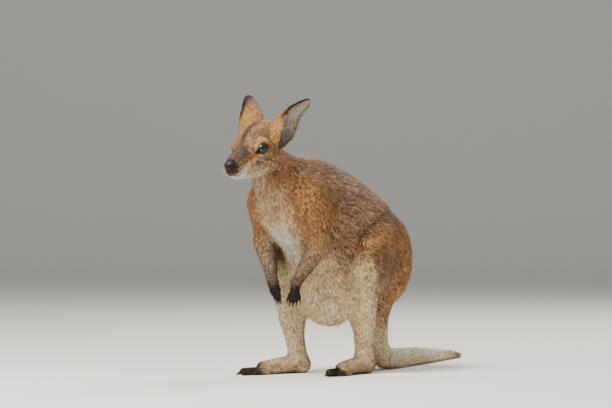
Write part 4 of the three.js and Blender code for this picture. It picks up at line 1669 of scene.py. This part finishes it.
@dataclass
class Ear:
    """A tall leaf rolled round its own length, open on one side, in millimetres.

    In radians, it is rolled up to one angle at its root and to another, smaller one in its upper half.
    """

    side: str
    root: Array
    tip: Array
    opens: Array
    length: float = 108.0
    sunk: float = 12.0
    breadth: float = 27.5
    bluntness: float = 0.42
    bow: float = 7.0
    rolled: float = 2.9
    unrolled: float = 1.15
    wall: float = 3.0
    rows: int = 54
    columns: int = 44
    fringe: int = 2600
    short: EarHair = EarHair(False, 11000, 4.4, 0.55, 1.0)
    lining: EarHair = EarHair(True, 6500, 8.0, 0.36, 1.8)

    def frame(self) -> tuple[Array, Array, Array]:
        """The ear's own axes.

        Returns:
            Directions along the ear, out of its mouth and across it.
        """
        axis = unit(self.tip)
        mouth = unit(self.opens - axis * (self.opens @ axis))
        return axis, mouth, np.cross(axis, mouth)

    def spot(self, t: Array, c: Array, inner: bool) -> Array:
        """Places on the leaf.

        The half width is the breadth times a stretched sine to the power of the bluntness, the rim of the
        leaf thins out with the fourth power of the place across, and the roll opens from the root to the
        upper half.

        Args:
            t: how far from root to tip, 0 to 1.
            c: how far from one rim to the other, -1 to 1.
            inner: whether inside the ear.

        Returns:
            Points on the animal's own axes.
        """
        axis, mouth, across = self.frame()
        swell = np.sin(math.pi * (0.16 + 0.84 * t) ** 0.9) ** self.bluntness
        radius = np.maximum(0.4, self.breadth * swell * (1 - 0.12 * t))
        angle = c * (self.rolled + (self.unrolled - self.rolled) * np.minimum(1, t * 1.55) ** 0.8)
        rim = np.maximum(0.12, 1 - np.abs(c) ** 4)
        r = radius - (np.minimum(self.wall * rim, radius * 0.8) if inner else 0.0)
        out = radius * 0.55 - r * np.cos(angle) - self.bow * np.sin(math.pi * t)
        along = (t * self.length - self.sunk)[..., None] * axis
        return self.root + along + (r * np.sin(angle))[..., None] * across + out[..., None] * mouth

    def front(self) -> float:
        """Which rim faces forward: 1 or -1 of the place across."""
        return 1.0 if self.frame()[2][1] < 0 else -1.0

    def paint(self, t: Array, c: Array, inner: bool) -> Array:
        """Colours of the leaf: rufous behind with a dark tip and front rim, bare and pink within, with painted shade
        deep in the hollow at its root.

        Args:
            t: how far from root to tip, 0 to 1.
            c: how far from one rim to the other, -1 to 1.
            inner: whether inside the ear.

        Returns:
            Linear colours, N by 3.
        """
        forward = c * self.front()
        if inner:
            dye = Dye(Tone.PINK.rgb, t.size)
            # painted shade deep in the ear's hollow, darker towards the root
            dye.lay(0.4 * ramp(t, 0.3, 0.05), Tone.UMBER)
            dye.lay(0.7 * ramp(np.abs(c), 0.7, 0.95), Tone.CREAM)
            return dye.colours
        dye = Dye(0.9 * Tone.RUFOUS.rgb + 0.1 * Tone.TAN.rgb, t.size)
        dye.lay(0.8 * ramp(t + 0.08 * forward, 0.44, 0.76), Tone.PLUM)
        dye.lay(0.9 * ramp(t + 0.12 * forward, 0.74, 0.92), Tone.SOOT)
        dye.lay(0.95 * ramp(forward, 0.6, 0.85) * ramp(t, 0.3, 0.5), Tone.SOOT)
        dye.lay(0.6 * ramp(-forward, 0.8, 0.98) * ramp(t, 0.8, 0.6), Tone.WHITE)
        return dye.colours

    def build(self, space: Space, material: bpy.types.Material) -> None:
        """Makes the leaf as one closed sheet: its back, its inside and a band round the rim.

        Args:
            space: the way into the frame.
            material: the finish.
        """
        along, across = np.linspace(0, 1, self.rows + 1), np.linspace(-1, 1, self.columns + 1)
        t, c = np.meshgrid(along, across, indexing="ij")
        points = np.concatenate([self.spot(t, c, inside).reshape(-1, 3) for inside in (False, True)])
        colours = np.concatenate([self.paint(t.ravel(), c.ravel(), inside) for inside in (False, True)])
        index = np.arange(t.size).reshape(t.shape)
        a, b, d, e = index[:-1, :-1], index[:-1, 1:], index[1:, 1:], index[1:, :-1]
        sheet = np.stack([a, e, d, b], -1).reshape(-1, 4)
        loop = np.concatenate([index[0, :-1], index[:-1, -1], index[-1, :0:-1], index[:0:-1, 0]])
        after = np.roll(loop, -1)
        band = np.stack([loop, loop + t.size, after + t.size, after], 1)[:, ::-1]
        faces = np.concatenate([sheet, sheet[:, ::-1] + t.size, band])
        mesh = new_mesh(f"ear_leaf_{self.side}", space.metres(points), faces, colours * 0.8)
        add_piece(mesh, "coat_ears", material, f"ear_{self.side}")

    def leaf_roots(self, kind: EarHair, rng: np.random.Generator, e: float = 1e-3) -> Roots:
        """Roots of the hair on one face of the leaf; inside, it is long and pale and leans to the rims.

        Args:
            kind: the kind of hair.
            rng: the source of chance.
            e: the step for directions along and across the leaf.

        Returns:
            The roots.
        """
        n, inner = kind.count, kind.inner
        t = rng.uniform(0.0, 0.985, n)
        c = rng.uniform(-1, 1, n)
        if inner:
            c = np.sign(c) * np.abs(c) ** 0.4
        spot = self.spot(t, c, inner)
        along = unit(self.spot(t + e, c, inner) - spot)
        across = unit(self.spot(t, c + e, inner) - spot)
        normal = unit(np.cross(across, along))
        normal = normal * np.sign((normal * (spot - self.spot(t, c, not inner))).sum(1))[:, None]
        width, rise = np.full(n, kind.width), np.full(n, kind.rise)
        if not inner:
            return Roots(spot, normal, along, np.full(n, kind.length), width, rise, self.paint(t, c, inner))
        lie = unit(along * 0.8 - across * np.sign(c)[:, None] * 0.7)
        colours = Tone.WHITE.rgb * rng.uniform(0.6, 1, (n, 1))
        colours[(c * self.front() > 0.6) & (t > 0.35)] = Tone.CREAM.rgb * 0.7
        return Roots(spot, normal, lie, kind.length * rng.uniform(0.6, 1.25, n), width, rise, colours)

    def fringe_roots(self, rng: np.random.Generator, e: float = 1e-3) -> Roots:
        """Roots of the hair on the rims: long and white behind, short and dark in front, cream at its foot.

        Args:
            rng: the source of chance.
            e: the step for the direction along the rim.

        Returns:
            The roots.
        """
        n, front = self.fringe, self.front()
        t = rng.uniform(0.2, 0.93, n)
        c = np.where(rng.random(n) < 0.65, -front, front) * rng.uniform(0.94, 1.0, n)
        spot = self.spot(t, c, False)
        along = unit(self.spot(t + e, c, False) - spot)
        out = unit(spot - self.spot(t, c * 0.9, False))
        behind = c * front < 0
        lie = unit(along * 0.9 + out * np.where(behind, 0.9, 0.25)[:, None])
        colours = np.where(behind[:, None], Tone.WHITE.rgb, Tone.SOOT.rgb)
        colours[~behind & (t < 0.5)] = Tone.CREAM.rgb * 0.8
        size = np.where(behind, rng.uniform(5, 12, n), 3.5) * ramp(t, 1.0, 0.75) + 1.5
        normal = unit(np.cross(lie, out) + self.frame()[1] * 0.4)
        return Roots(spot, normal, lie, size, np.full(n, 0.42), np.full(n, 0.8), colours)

    def hair(self, coats: Coats) -> None:
        """Covers the back with short hair and fringes the rims and the inside with long pale hair.

        Args:
            coats: the maker of the coat's pieces.
        """
        sorts = [self.leaf_roots(kind, coats.rng) for kind in (self.short, self.lining)]
        sorts.append(self.fringe_roots(coats.rng))
        axis = self.frame()[0]
        chart = Chart([self.root - axis * self.sunk, self.root + axis * self.length])
        coats.piece(f"coat_ear_{self.side}", "coat_ears", Roots.joined(sorts), chart, None)


# ------------------------------------------------------------------------------------- eyes, nose, mouth


def lathe(rings: Array) -> Array:
    """Quads that join rings of points, each ring closed on itself.

    Args:
        rings: the points, rings by points round each by 3.

    Returns:
        Corners of the quads, as places among the points of all rings in a row.
    """
    count, around = rings.shape[:2]
    index = np.arange(count * around).reshape(count, around)
    after = np.roll(index, -1, axis=1)
    return np.stack([index[:-1], after[:-1], after[1:], index[1:]], -1).reshape(-1, 4)


def caps(rings: Array) -> Array:
    """Quads that fill the first and the last of the rings of a lathe, turned as the lathe's own are.

    Args:
        rings: the points, rings by an even number of points round each by 3.

    Returns:
        Corners of the quads.
    """
    count, around = rings.shape[:2]
    k = np.arange(around // 2 - 1)
    first = np.stack([k, k + 1, around - 2 - k, around - 1 - k], 1)[:, ::-1]
    return np.concatenate([first, first[:, ::-1] + (count - 1) * around])


def snapped(flesh: Flesh, points: Array, steps: int) -> Array:
    """Places moved onto the surface of the flesh.

    Args:
        flesh: the distance field.
        points: places near its surface, N by 3.
        steps: how many Newton steps to take.

    Returns:
        The moved places.
    """
    for _ in range(steps):
        points = points - flesh.slope(points) * flesh.distance(points)[:, None]
    return points


@dataclass
class Eye:
    """An eyeball between dark lids with an almond opening.

    The opening is how far the lids open towards the corners, upwards and downwards, in degrees. FOLD tells
    the lids from their wet edge back into the skin: degrees beyond the edge, height above the ball and
    lightness, which is painted shade at the wet edge and in the fold and a little painted light where the
    lids stand highest.
    """

    side: str
    pose: Pose
    around: int = 56
    opening: tuple[float, float, float] = (78.0, 34.0, 34.0)
    roundness: float = 1.7
    bulge: float = 0.35
    forward: float = 0.46
    upward: float = 0.06

    FOLD = np.array([
        (0.0, -0.2, 0.7), (0.0, 0.25, 0.8), (0.8, 0.5, 1.0), (2.4, 0.75, 1.1), (4.5, 0.7, 1.0),
        (6.0, 0.35, 0.7), (7.0, 0.3, 0.8), (9.0, 0.45, 1.0), (12.0, 0.0, 1.0), (24.0, -1.8, 1.0),
    ])
    IRIS = np.array([0.022, 0.011, 0.006])

    def frame(self) -> Axes:
        """The eye's own axes.

        Returns:
            Axes with the first out of the eye and the second towards the nose.
        """
        s = SIDES[self.side]
        ahead, out, up = self.pose.head.turn
        look = unit(out * s + self.forward * ahead + self.upward * up)
        nose = unit(ahead - look * (ahead @ look))
        return Axes(self.pose.eye(s), np.array([look, nose, np.cross(nose, look) * s]))

    def covers(self, points: Array, margin: float) -> Array:
        """Whether places lie in front of the open eye or on its lids.

        Args:
            points: places, N by 3.
            margin: how far the lids reach beyond the opening, in degrees.

        Returns:
            True or false for each.
        """
        q = self.frame().local(points)
        far = np.linalg.norm(q, axis=1)
        polar = np.degrees(np.arccos(np.clip(q[:, 0] / far, -1, 1)))
        return (polar < self.edge(np.arctan2(q[:, 2], q[:, 1])) + margin) & (far < self.pose.eye_radius + 9)

    def edge(self, turn: Array) -> Array:
        """How far the lids open: the radius of a rounded oval whose width and heights are the opening's.

        Args:
            turn: the direction from the middle of the eye, from the nose upwards, in radians.

        Returns:
            Degrees from the middle of the eye.
        """
        wide, high, low = self.opening
        x, y = np.cos(turn) / wide, np.sin(turn) / np.where(np.sin(turn) > 0, high, low)
        return (np.abs(x) ** self.roundness + np.abs(y) ** self.roundness) ** (-1 / self.roundness)

    def shell(self, polar: Array, size: Array, closed: bool) -> tuple[Array, Array]:
        """Rings round the direction in which the eye looks.

        Args:
            polar: how far each point lies from that direction, in radians, rings by points round.
            size: how far each lies from the middle of the eye, of the same shape.
            closed: whether both ends are filled.

        Returns:
            The points, N by 3, and the corners of the quads.
        """
        axes = self.frame()
        turn = np.linspace(0, 2 * math.pi, self.around, endpoint=False)
        sine = np.sin(polar)
        rings = size[..., None] * np.stack([np.cos(polar), sine * np.cos(turn), sine * np.sin(turn)], -1)
        faces = np.concatenate([lathe(rings), caps(rings)]) if closed else lathe(rings)
        if np.linalg.det(axes.turn) < 0:
            faces = faces[:, ::-1]
        return axes.origin + rings.reshape(-1, 3) @ axes.turn, faces

    def ball(self, space: Space, material: bpy.types.Material) -> None:
        """Makes the eyeball: a sphere with a slightly bulged front over a dark iris and a black pupil.

        Args:
            space: the way into the frame.
            material: the finish.
        """
        polar = np.repeat(np.linspace(0.02, math.pi - 0.02, 40)[:, None], self.around, 1)
        degrees = np.degrees(polar)
        size = self.pose.eye_radius + self.bulge * ramp(degrees, 48, 30)
        pupil = ramp(degrees, 34, 30).reshape(-1, 1)
        colours = self.IRIS * (1 - pupil) + pupil * 0.002
        colours = colours * ramp(degrees, 66, 52).reshape(-1, 1) + 0.004
        points, faces = self.shell(polar, size, True)
        mesh = new_mesh(f"eyeball_{self.side}", space.metres(points), faces, colours)
        add_piece(mesh, "eyes", material, f"eye_{self.side}")

    def lids(self, space: Space, material: bpy.types.Material) -> None:
        """Makes the rounded lids with their fold; the upper one stands out a little further.

        Args:
            space: the way into the frame.
            material: the finish.
        """
        turn = np.linspace(0, 2 * math.pi, self.around, endpoint=False)
        more, lift, shade = (column[:, None] for column in self.FOLD.T)
        polar = np.radians(self.edge(turn) + more * (1 + 0.5 * np.abs(np.cos(turn)) ** 4))
        size = self.pose.eye_radius + 0.35 + lift * (1 + 0.35 * np.sin(turn) * (lift > 0.7))
        # the fold's lightness: painted shade at the wet edge and in the fold, a little painted light at the highest
        # rim
        colours = Tone.BLACK.rgb * 2.4 * np.repeat(shade, self.around, 0)
        points, faces = self.shell(polar, size, False)
        add_piece(new_mesh(f"lids_{self.side}", space.metres(points), faces, colours), "nose_pad", material)


@dataclass
class Nose:
    """The bare pad of the nose with its nostrils and the groove below it."""

    body: Body
    cell: float = 0.75
    reach: float = 19.0
    skin: float = 0.25
    egg: tuple[float, float, float] = (15, 13.5, 13.5)

    def distance(self, p: Array) -> Array:
        """The end of the muzzle within an egg, less the nostrils, their slits and the groove.

        Args:
            p: places, any shape ending in 3.

        Returns:
            The distance at each, negative inside.
        """
        h = self.body.pose.head
        pad = Oval(self.body.pose.nose_pad(), self.egg)
        d = -melt(self.skin - self.body.flesh.distance(p), -pad.distance(p), 1.2)
        for s in SIDES.values():
            hole = Limb(h.place(87, s * 4.6, -3.4), h.place(79, s * 8.2, -1.6), 2.5, 3.4)
            slit = Limb(h.place(81, s * 9.5, -1.2), h.place(75, s * 13, 1.4), 1.3, 0.9)
            d = -melt(-d, hole.distance(p), 1.4)
            d = -melt(-d, slit.distance(p), 1.0)
        groove = Limb(h.place(88, 0, 2), h.place(80, 0, -15), 0.9, 0.9)
        return -melt(-d, groove.distance(p), 1.4)

    def build(self, space: Space, material: bpy.types.Material) -> None:
        """Makes the pad's piece, with painted shade that is blackest inside the nostrils and painted light that makes
        it greyer on top.

        Args:
            space: the way into the frame.
            material: the finish.
        """
        h = self.body.pose.head
        span = np.arange(-self.reach, self.reach + 0.01, self.cell)
        xs, ys, zs = (span + middle for middle in h.place(77, 0, -1))
        values = self.distance(np.stack(np.meshgrid(xs, ys, zs, indexing="ij"), -1))
        for side in (0, -1):
            values[side] = values[:, side] = values[:, :, side] = 5.0
        points, quads = surface_of(values, xs, ys, zs)
        q = h.local(points)
        # painted shade, darkest far inside the nostrils
        deep = ramp(self.body.flesh.distance(points) - self.skin, -0.4, -1.8) * (q[:, 0] > 70)
        colours = Tone.BLACK.rgb * (1.35 - 1.1 * deep)[:, None]
        # painted light: greyer on top of the pad
        colours = colours + (ramp(q[:, 2], 1, 6) * 0.035)[:, None] * np.array([0.8, 0.68, 0.7])
        mesh = new_mesh("nose_pad", space.metres(points), quads, np.clip(colours, 0.001, 1))
        add_piece(mesh, "nose_pad", material, "nose")


@dataclass
class Mouth:
    """The dark line between the lips, partly their dark skin and partly painted shade in the crease, and the whiskers
    above it, in millimetres.
    """

    body: Body
    corner: float = 24.0
    cord: float = 0.95
    cord_end: float = 0.2
    whisker: float = 0.2
    steps: int = 7
    sides: int = 3

    def lips(self, space: Space, material: bpy.types.Material) -> None:
        """Makes a thin dark cord sunk into the skin from the corner of one side to the other, for the lips' dark skin
        and the painted shade of the crease between them.

        Args:
            space: the way into the frame.
            material: the finish.
        """
        h, flesh = self.body.pose.head, self.body.flesh
        t = np.linspace(-1, 1, 61)
        ahead = 78 - 44 * np.abs(t) ** 1.5
        raw = np.stack([h.place(a, self.corner * x, -21.5 - 5 * abs(x) ** 2) for a, x in zip(ahead, t)])
        raw = snapped(flesh, raw, 6)
        out = flesh.slope(raw)
        across = unit(np.cross(unit(np.gradient(raw, axis=0)), out))
        turn = np.linspace(0, 2 * math.pi, 8, endpoint=False)[None, :, None]
        size = (self.cord_end + (self.cord - self.cord_end) * (1 - np.abs(t) ** 4))[:, None, None]
        ring = np.cos(turn) * across[:, None] + np.sin(turn) * out[:, None]
        rings = (raw + out * 0.35)[:, None] + size * ring
        # near black: the lips' own dark skin and painted shade in the crease of the mouth
        colours = np.tile(Tone.BLACK.rgb * 1.6, (rings[..., 0].size, 1))
        mesh = new_mesh("lips", space.metres(rings.reshape(-1, 3)), lathe(rings)[:, ::-1], colours)
        add_piece(mesh, "nose_pad", material)

    def strewn(self) -> list[tuple[Array, tuple[float, float, float], float]]:
        """Whiskers in rows on both lips, two over each eye and five under each side of the chin.

        Returns:
            Where each starts, its direction in the head's own frame, and its length.
        """
        place, rng, found = self.body.pose.head.place, np.random.default_rng(12), []
        for s in SIDES.values():
            for row, k in np.ndindex(5, 5):
                start = place(70 - 6.2 * k + rng.uniform(-1, 1), s * 14, -10 - 3.0 * row)
                way = (-0.35 + 0.5 * (k < 1), s * 1.0, -0.35 + 0.05 * k - 0.1 * row)
                found.append((start, way, rng.uniform(20, 38) * (0.6 + 0.1 * k)))
            for k in range(2):
                found.append((place(8 - 7 * k, s * 27, 19), (-0.7, s * 0.5, 0.5), rng.uniform(10, 14)))
            for k in range(5):
                way = (0.1 - 0.1 * k, s * 0.35, -0.9)
                found.append((place(56 - 5 * k, s * 5, -37), way, rng.uniform(9, 15)))
        return found

    def whiskers(self, space: Space, material: bpy.types.Material) -> None:
        """Makes pale stiff hairs that sweep back and out, sag a little and taper to their tips.

        Args:
            space: the way into the frame.
            material: the finish.
        """
        h = self.body.pose.head
        start, way, size = (np.array(column) for column in zip(*self.strewn()))
        start, way = snapped(self.body.flesh, start, 5), unit(way @ h.turn)
        sag = -unit(h.turn[0]) * 0.3 - SKY * 0.25
        side = unit(np.cross(way, h.turn[0]))
        other = np.cross(way, side)
        turns = np.linspace(0, 2 * math.pi, self.sides, endpoint=False)
        star = np.stack([math.cos(a) * side + math.sin(a) * other for a in turns], 1)
        rows = []
        for t in np.linspace(0, 1, self.steps):
            centre = start + way * (size * t)[:, None] + sag * (size * t * t)[:, None]
            rows.append(centre[:, None] + self.whisker * (1 - 0.85 * t) * star)
        rings = np.stack(rows, 1)
        quads = lathe(rings[0])
        first = np.arange(len(rings))[:, None, None] * self.steps * self.sides
        points = space.metres(rings.reshape(-1, 3))
        colours = np.tile(Tone.WHITE.rgb, (len(points), 1))
        mesh = new_mesh("whiskers", points, (first + quads).reshape(-1, 4), colours)
        add_piece(mesh, "coat_head", material)


# ------------------------------------------------------------------------------------- claws


@dataclass
class Claw:
    """One curved claw, round above and a little flat below, in millimetres."""

    node: str
    root: Array
    way: Array
    length: float
    radius: float
    droop: float
    point: float = 0.12
    count: int = 12
    around: int = 10

    def rings(self) -> Array:
        """Rings of points from within the toe to the tip.

        The radius goes with the power of 0.6 of the length that is left, and the bend is a flat arch.

        Returns:
            Points, rings by points round each by 3.
        """
        way = unit(self.way)
        side = unit(np.cross(way, SKY) + 1e-6)
        up = np.cross(side, way)
        t = np.linspace(-0.15, 1, self.count)
        past = np.clip(t, 0, 1)
        turn = np.linspace(0, 2 * math.pi, self.around, endpoint=False)
        size = self.radius * (1 - past) ** 0.6 + self.point
        bend = -self.droop * past**2 + self.droop * 0.5 * past
        middle = self.root + way * (self.length * t)[:, None] + up * bend[:, None]
        flat = np.where(np.sin(turn) < 0, 0.7, 1.0)
        ring = np.cos(turn)[:, None] * side * 0.75 + (np.sin(turn) * flat)[:, None] * up
        return middle[:, None] + size[:, None, None] * ring


@dataclass
class Claws:
    """The claws of one hand or foot as one piece."""

    name: str
    claws: list[Claw]
    lowest: float = 0.15

    def build(self, space: Space, material: bpy.types.Material) -> None:
        """Makes the piece, paler towards the tips.

        Args:
            space: the way into the frame.
            material: the finish.
        """
        rings = np.array([claw.rings() for claw in self.claws])
        quads = np.concatenate([lathe(rings[0]), caps(rings[0])])[:, ::-1]
        count, around = rings.shape[1:3]
        first = np.arange(len(rings))[:, None, None] * count * around
        points = rings.reshape(-1, 3)
        points[:, 2] = np.maximum(points[:, 2], self.lowest)
        shade = np.tile(np.repeat(np.linspace(1.3, 2.2, count), around), len(rings))
        colours = Tone.BLACK.rgb * shade[:, None]
        mesh = new_mesh(self.name, space.metres(points), (quads + first).reshape(-1, 4), colours)
        add_piece(mesh, "claws", material, *(claw.node for claw in self.claws))


def all_claws(pose: Pose) -> list[Claws]:
    """The claws of both hands and both feet.

    Args:
        pose: the measured places of the body.

    Returns:
        One group of claws for each hand and foot.
    """
    found = []
    for side in SIDES:
        hand, foot = [], []
        for i, (root, tip) in enumerate(pose.finger_lines(side)):
            down = unit(tip - root + at(0, 2, 0))
            hand.append(Claw(f"claw_hand_{side}_{i + 1}", tip + down * 0.5, down, 11.0, 2.3, 2.0))
        for toe, root, tip in pose.toe_lines(side):
            ahead = unit(tip - root)
            start = tip + ahead * (toe.r - 6)
            start[2] = toe.r * 0.8
            way = ahead * toe.claw
            way[2] = -toe.r * 0.5
            foot.append(Claw(f"claw_foot_{side}_{toe.name}", start, way, toe.claw, toe.r * 0.6, 2.4))
        found += [Claws(f"claws_hand_{side}", hand), Claws(f"claws_foot_{side}", foot)]
    return found


# ------------------------------------------------------------------------------------- stage


@dataclass(frozen=True)
class Lamp:
    """An area lamp: its place in metres as the camera sees it, its size, power and colour."""

    name: str
    across: float
    near: float
    up: float
    size: float
    power: float
    tint: tuple[float, float, float]


@dataclass
class Stage:
    """The pale sweep that the model stands on, the lamps and the camera; targets are in metres."""

    space: Space
    right: Array = field(default_factory=lambda: np.array([0.743, 0.669, 0.0]))
    near: Array = field(default_factory=lambda: np.array([0.669, -0.743, 0.0]))
    half_width: float = 34.0
    lens: float = 187.4
    sensor: float = 36.0
    middle: float = 0.3
    sky: tuple[float, float, float, float] = (0.9, 0.92, 0.95, 1)
    sky_power: float = 0.34

    LAMPS = (
        Lamp("key", -1.5, 2.0, 3.0, 1.2, 275.0, (1.0, 0.96, 0.9)),
        Lamp("fill", 2.6, 2.4, 1.2, 2.6, 26.0, (0.92, 0.96, 1.0)),
        Lamp("rim", 1.4, -2.2, 2.8, 1.6, 100.0, (1.0, 0.96, 0.9)),
    )

    def floor(self) -> None:
        """A wide floor that curves up far behind the model."""
        steps = np.linspace(0, math.pi / 2, 24)
        bend = [(7.0 + 3.0 * math.sin(a), 3.0 - 3.0 * math.cos(a)) for a in steps]
        points = [
            -self.near * away + SKY * up + self.right * across
            for away, up in [(-20.0, 0.0), *bend, (10.0, 20.0)]
            for across in (-self.half_width, self.half_width)
        ]
        index = np.arange(len(points)).reshape(-1, 2)
        faces = np.stack([index[:-1, 0], index[:-1, 1], index[1:, 1], index[1:, 0]], 1)
        mesh = new_mesh("floor", np.array(points), faces)
        sheet = bpy.data.objects.new("floor", mesh)
        mesh.materials.append(Shader("floor", Base_Color=(0.8, 0.78, 0.74, 1), Roughness=0.9).material)
        bpy.context.scene.collection.objects.link(sheet)
        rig.stage(sheet)

    def place(self, name: str, data: bpy.types.ID, spot: Array, target: Array) -> bpy.types.Object:
        """Puts a lamp or a camera into the scene so that it looks from its spot at a target.

        Args:
            name: what it is called.
            data: the lamp or the camera.
            spot: where it is, in metres.
            target: what it looks at.

        Returns:
            The new object.
        """
        back = unit(spot - target)
        right = unit(np.cross(SKY, back))
        turn = np.eye(4)
        turn[:3] = np.stack([right, np.cross(back, right), back, spot], 1)
        thing = bpy.data.objects.new(name, data)
        bpy.context.scene.collection.objects.link(thing)
        thing.matrix_world = Matrix(turn.tolist())
        return thing

    def light(self, lamp: Lamp) -> None:
        """Sets up a lamp, aimed at the middle of the model.

        Args:
            lamp: its place and its light.
        """
        data = bpy.data.lights.new(lamp.name, "AREA")
        data.size, data.energy, data.color = lamp.size, lamp.power, lamp.tint
        spot = self.right * lamp.across + self.near * lamp.near + SKY * lamp.up
        self.place(lamp.name, data, spot, SKY * self.middle)

    def camera(self) -> None:
        """A long lens a little above the shoulder, placed in millimetres on the animal's own axes."""
        data = bpy.data.cameras.new("camera")
        data.lens, data.sensor_width, data.clip_end = self.lens, self.sensor, 60.0
        target = -79.6 * self.right + SKY * 343.5
        spot = target + 6500 * self.near
        spot[2] = 370.0
        metres = self.space.metres
        bpy.context.scene.camera = self.place("camera", data, metres(spot), metres(target))

    def build(self) -> None:
        """Sets up everything round the model."""
        self.floor()
        for lamp in self.LAMPS:
            self.light(lamp)
        world = bpy.data.worlds.new("world")
        world.use_nodes = True
        sockets = world.node_tree.nodes["Background"].inputs
        sockets["Color"].default_value = self.sky
        sockets["Strength"].default_value = self.sky_power
        bpy.context.scene.world = world
        self.camera()


# ------------------------------------------------------------------------------------- main

LIMBS = ("upper_arm", "forearm", "hand", "thigh", "shank", "foot")
FLESH_NODES = ["head", "neck", "trunk", "tail_base", "tail_middle", "tail_tip"]
FLESH_NODES += [f"{limb}_{side}" for limb in LIMBS for side in SIDES]


def main() -> None:
    """Builds the animal piece by piece."""
    pose = Pose()
    space = Space(pose)
    body = Body(pose)
    skin = Skin(body, space)
    log.info("skin: %d points", len(skin.points))
    pelt = PeltFinish().build()
    hair = HairFinish().build()
    skin.build(pelt, *FLESH_NODES)

    coats = Coats(space, hair, np.random.default_rng(20))
    eyes = [Eye(side, pose) for side in SIDES]
    coats.cover(skin, eyes)
    for ear in (
        Ear("left", at(24, 240, 484), at(60, -40, 68), at(0.75, 0.0, -0.62)),
        Ear("right", at(-24, 246, 484), at(-47, -36, 78), at(-0.85, -0.35, -0.2)),
    ):
        ear.build(space, hair)
        ear.hair(coats)

    gloss = SmoothFinish("eye", 0.05, specular=0.4).build()
    bare = SmoothFinish("bare_skin", 0.4, pebble=1100.0, height=0.00015, specular=0.22).build()
    horn = SmoothFinish("horn", 0.35).build()
    for eye in eyes:
        eye.ball(space, gloss)
        eye.lids(space, bare)
    Nose(body).build(space, bare)
    mouth = Mouth(body)
    mouth.lips(space, bare)
    mouth.whiskers(space, hair)
    for claws in all_claws(pose):
        claws.build(space, horn)
    Stage(space).build()


if __name__ == "__main__":
    logging.basicConfig(level=logging.INFO, format="%(message)s")
    main()
    with open("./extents.json", "w") as out:
        json.dump({"cad": [list(map(float, c)) for c in CAD_BOX], "visual": [list(map(float, c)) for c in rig.bounds()]}, out)
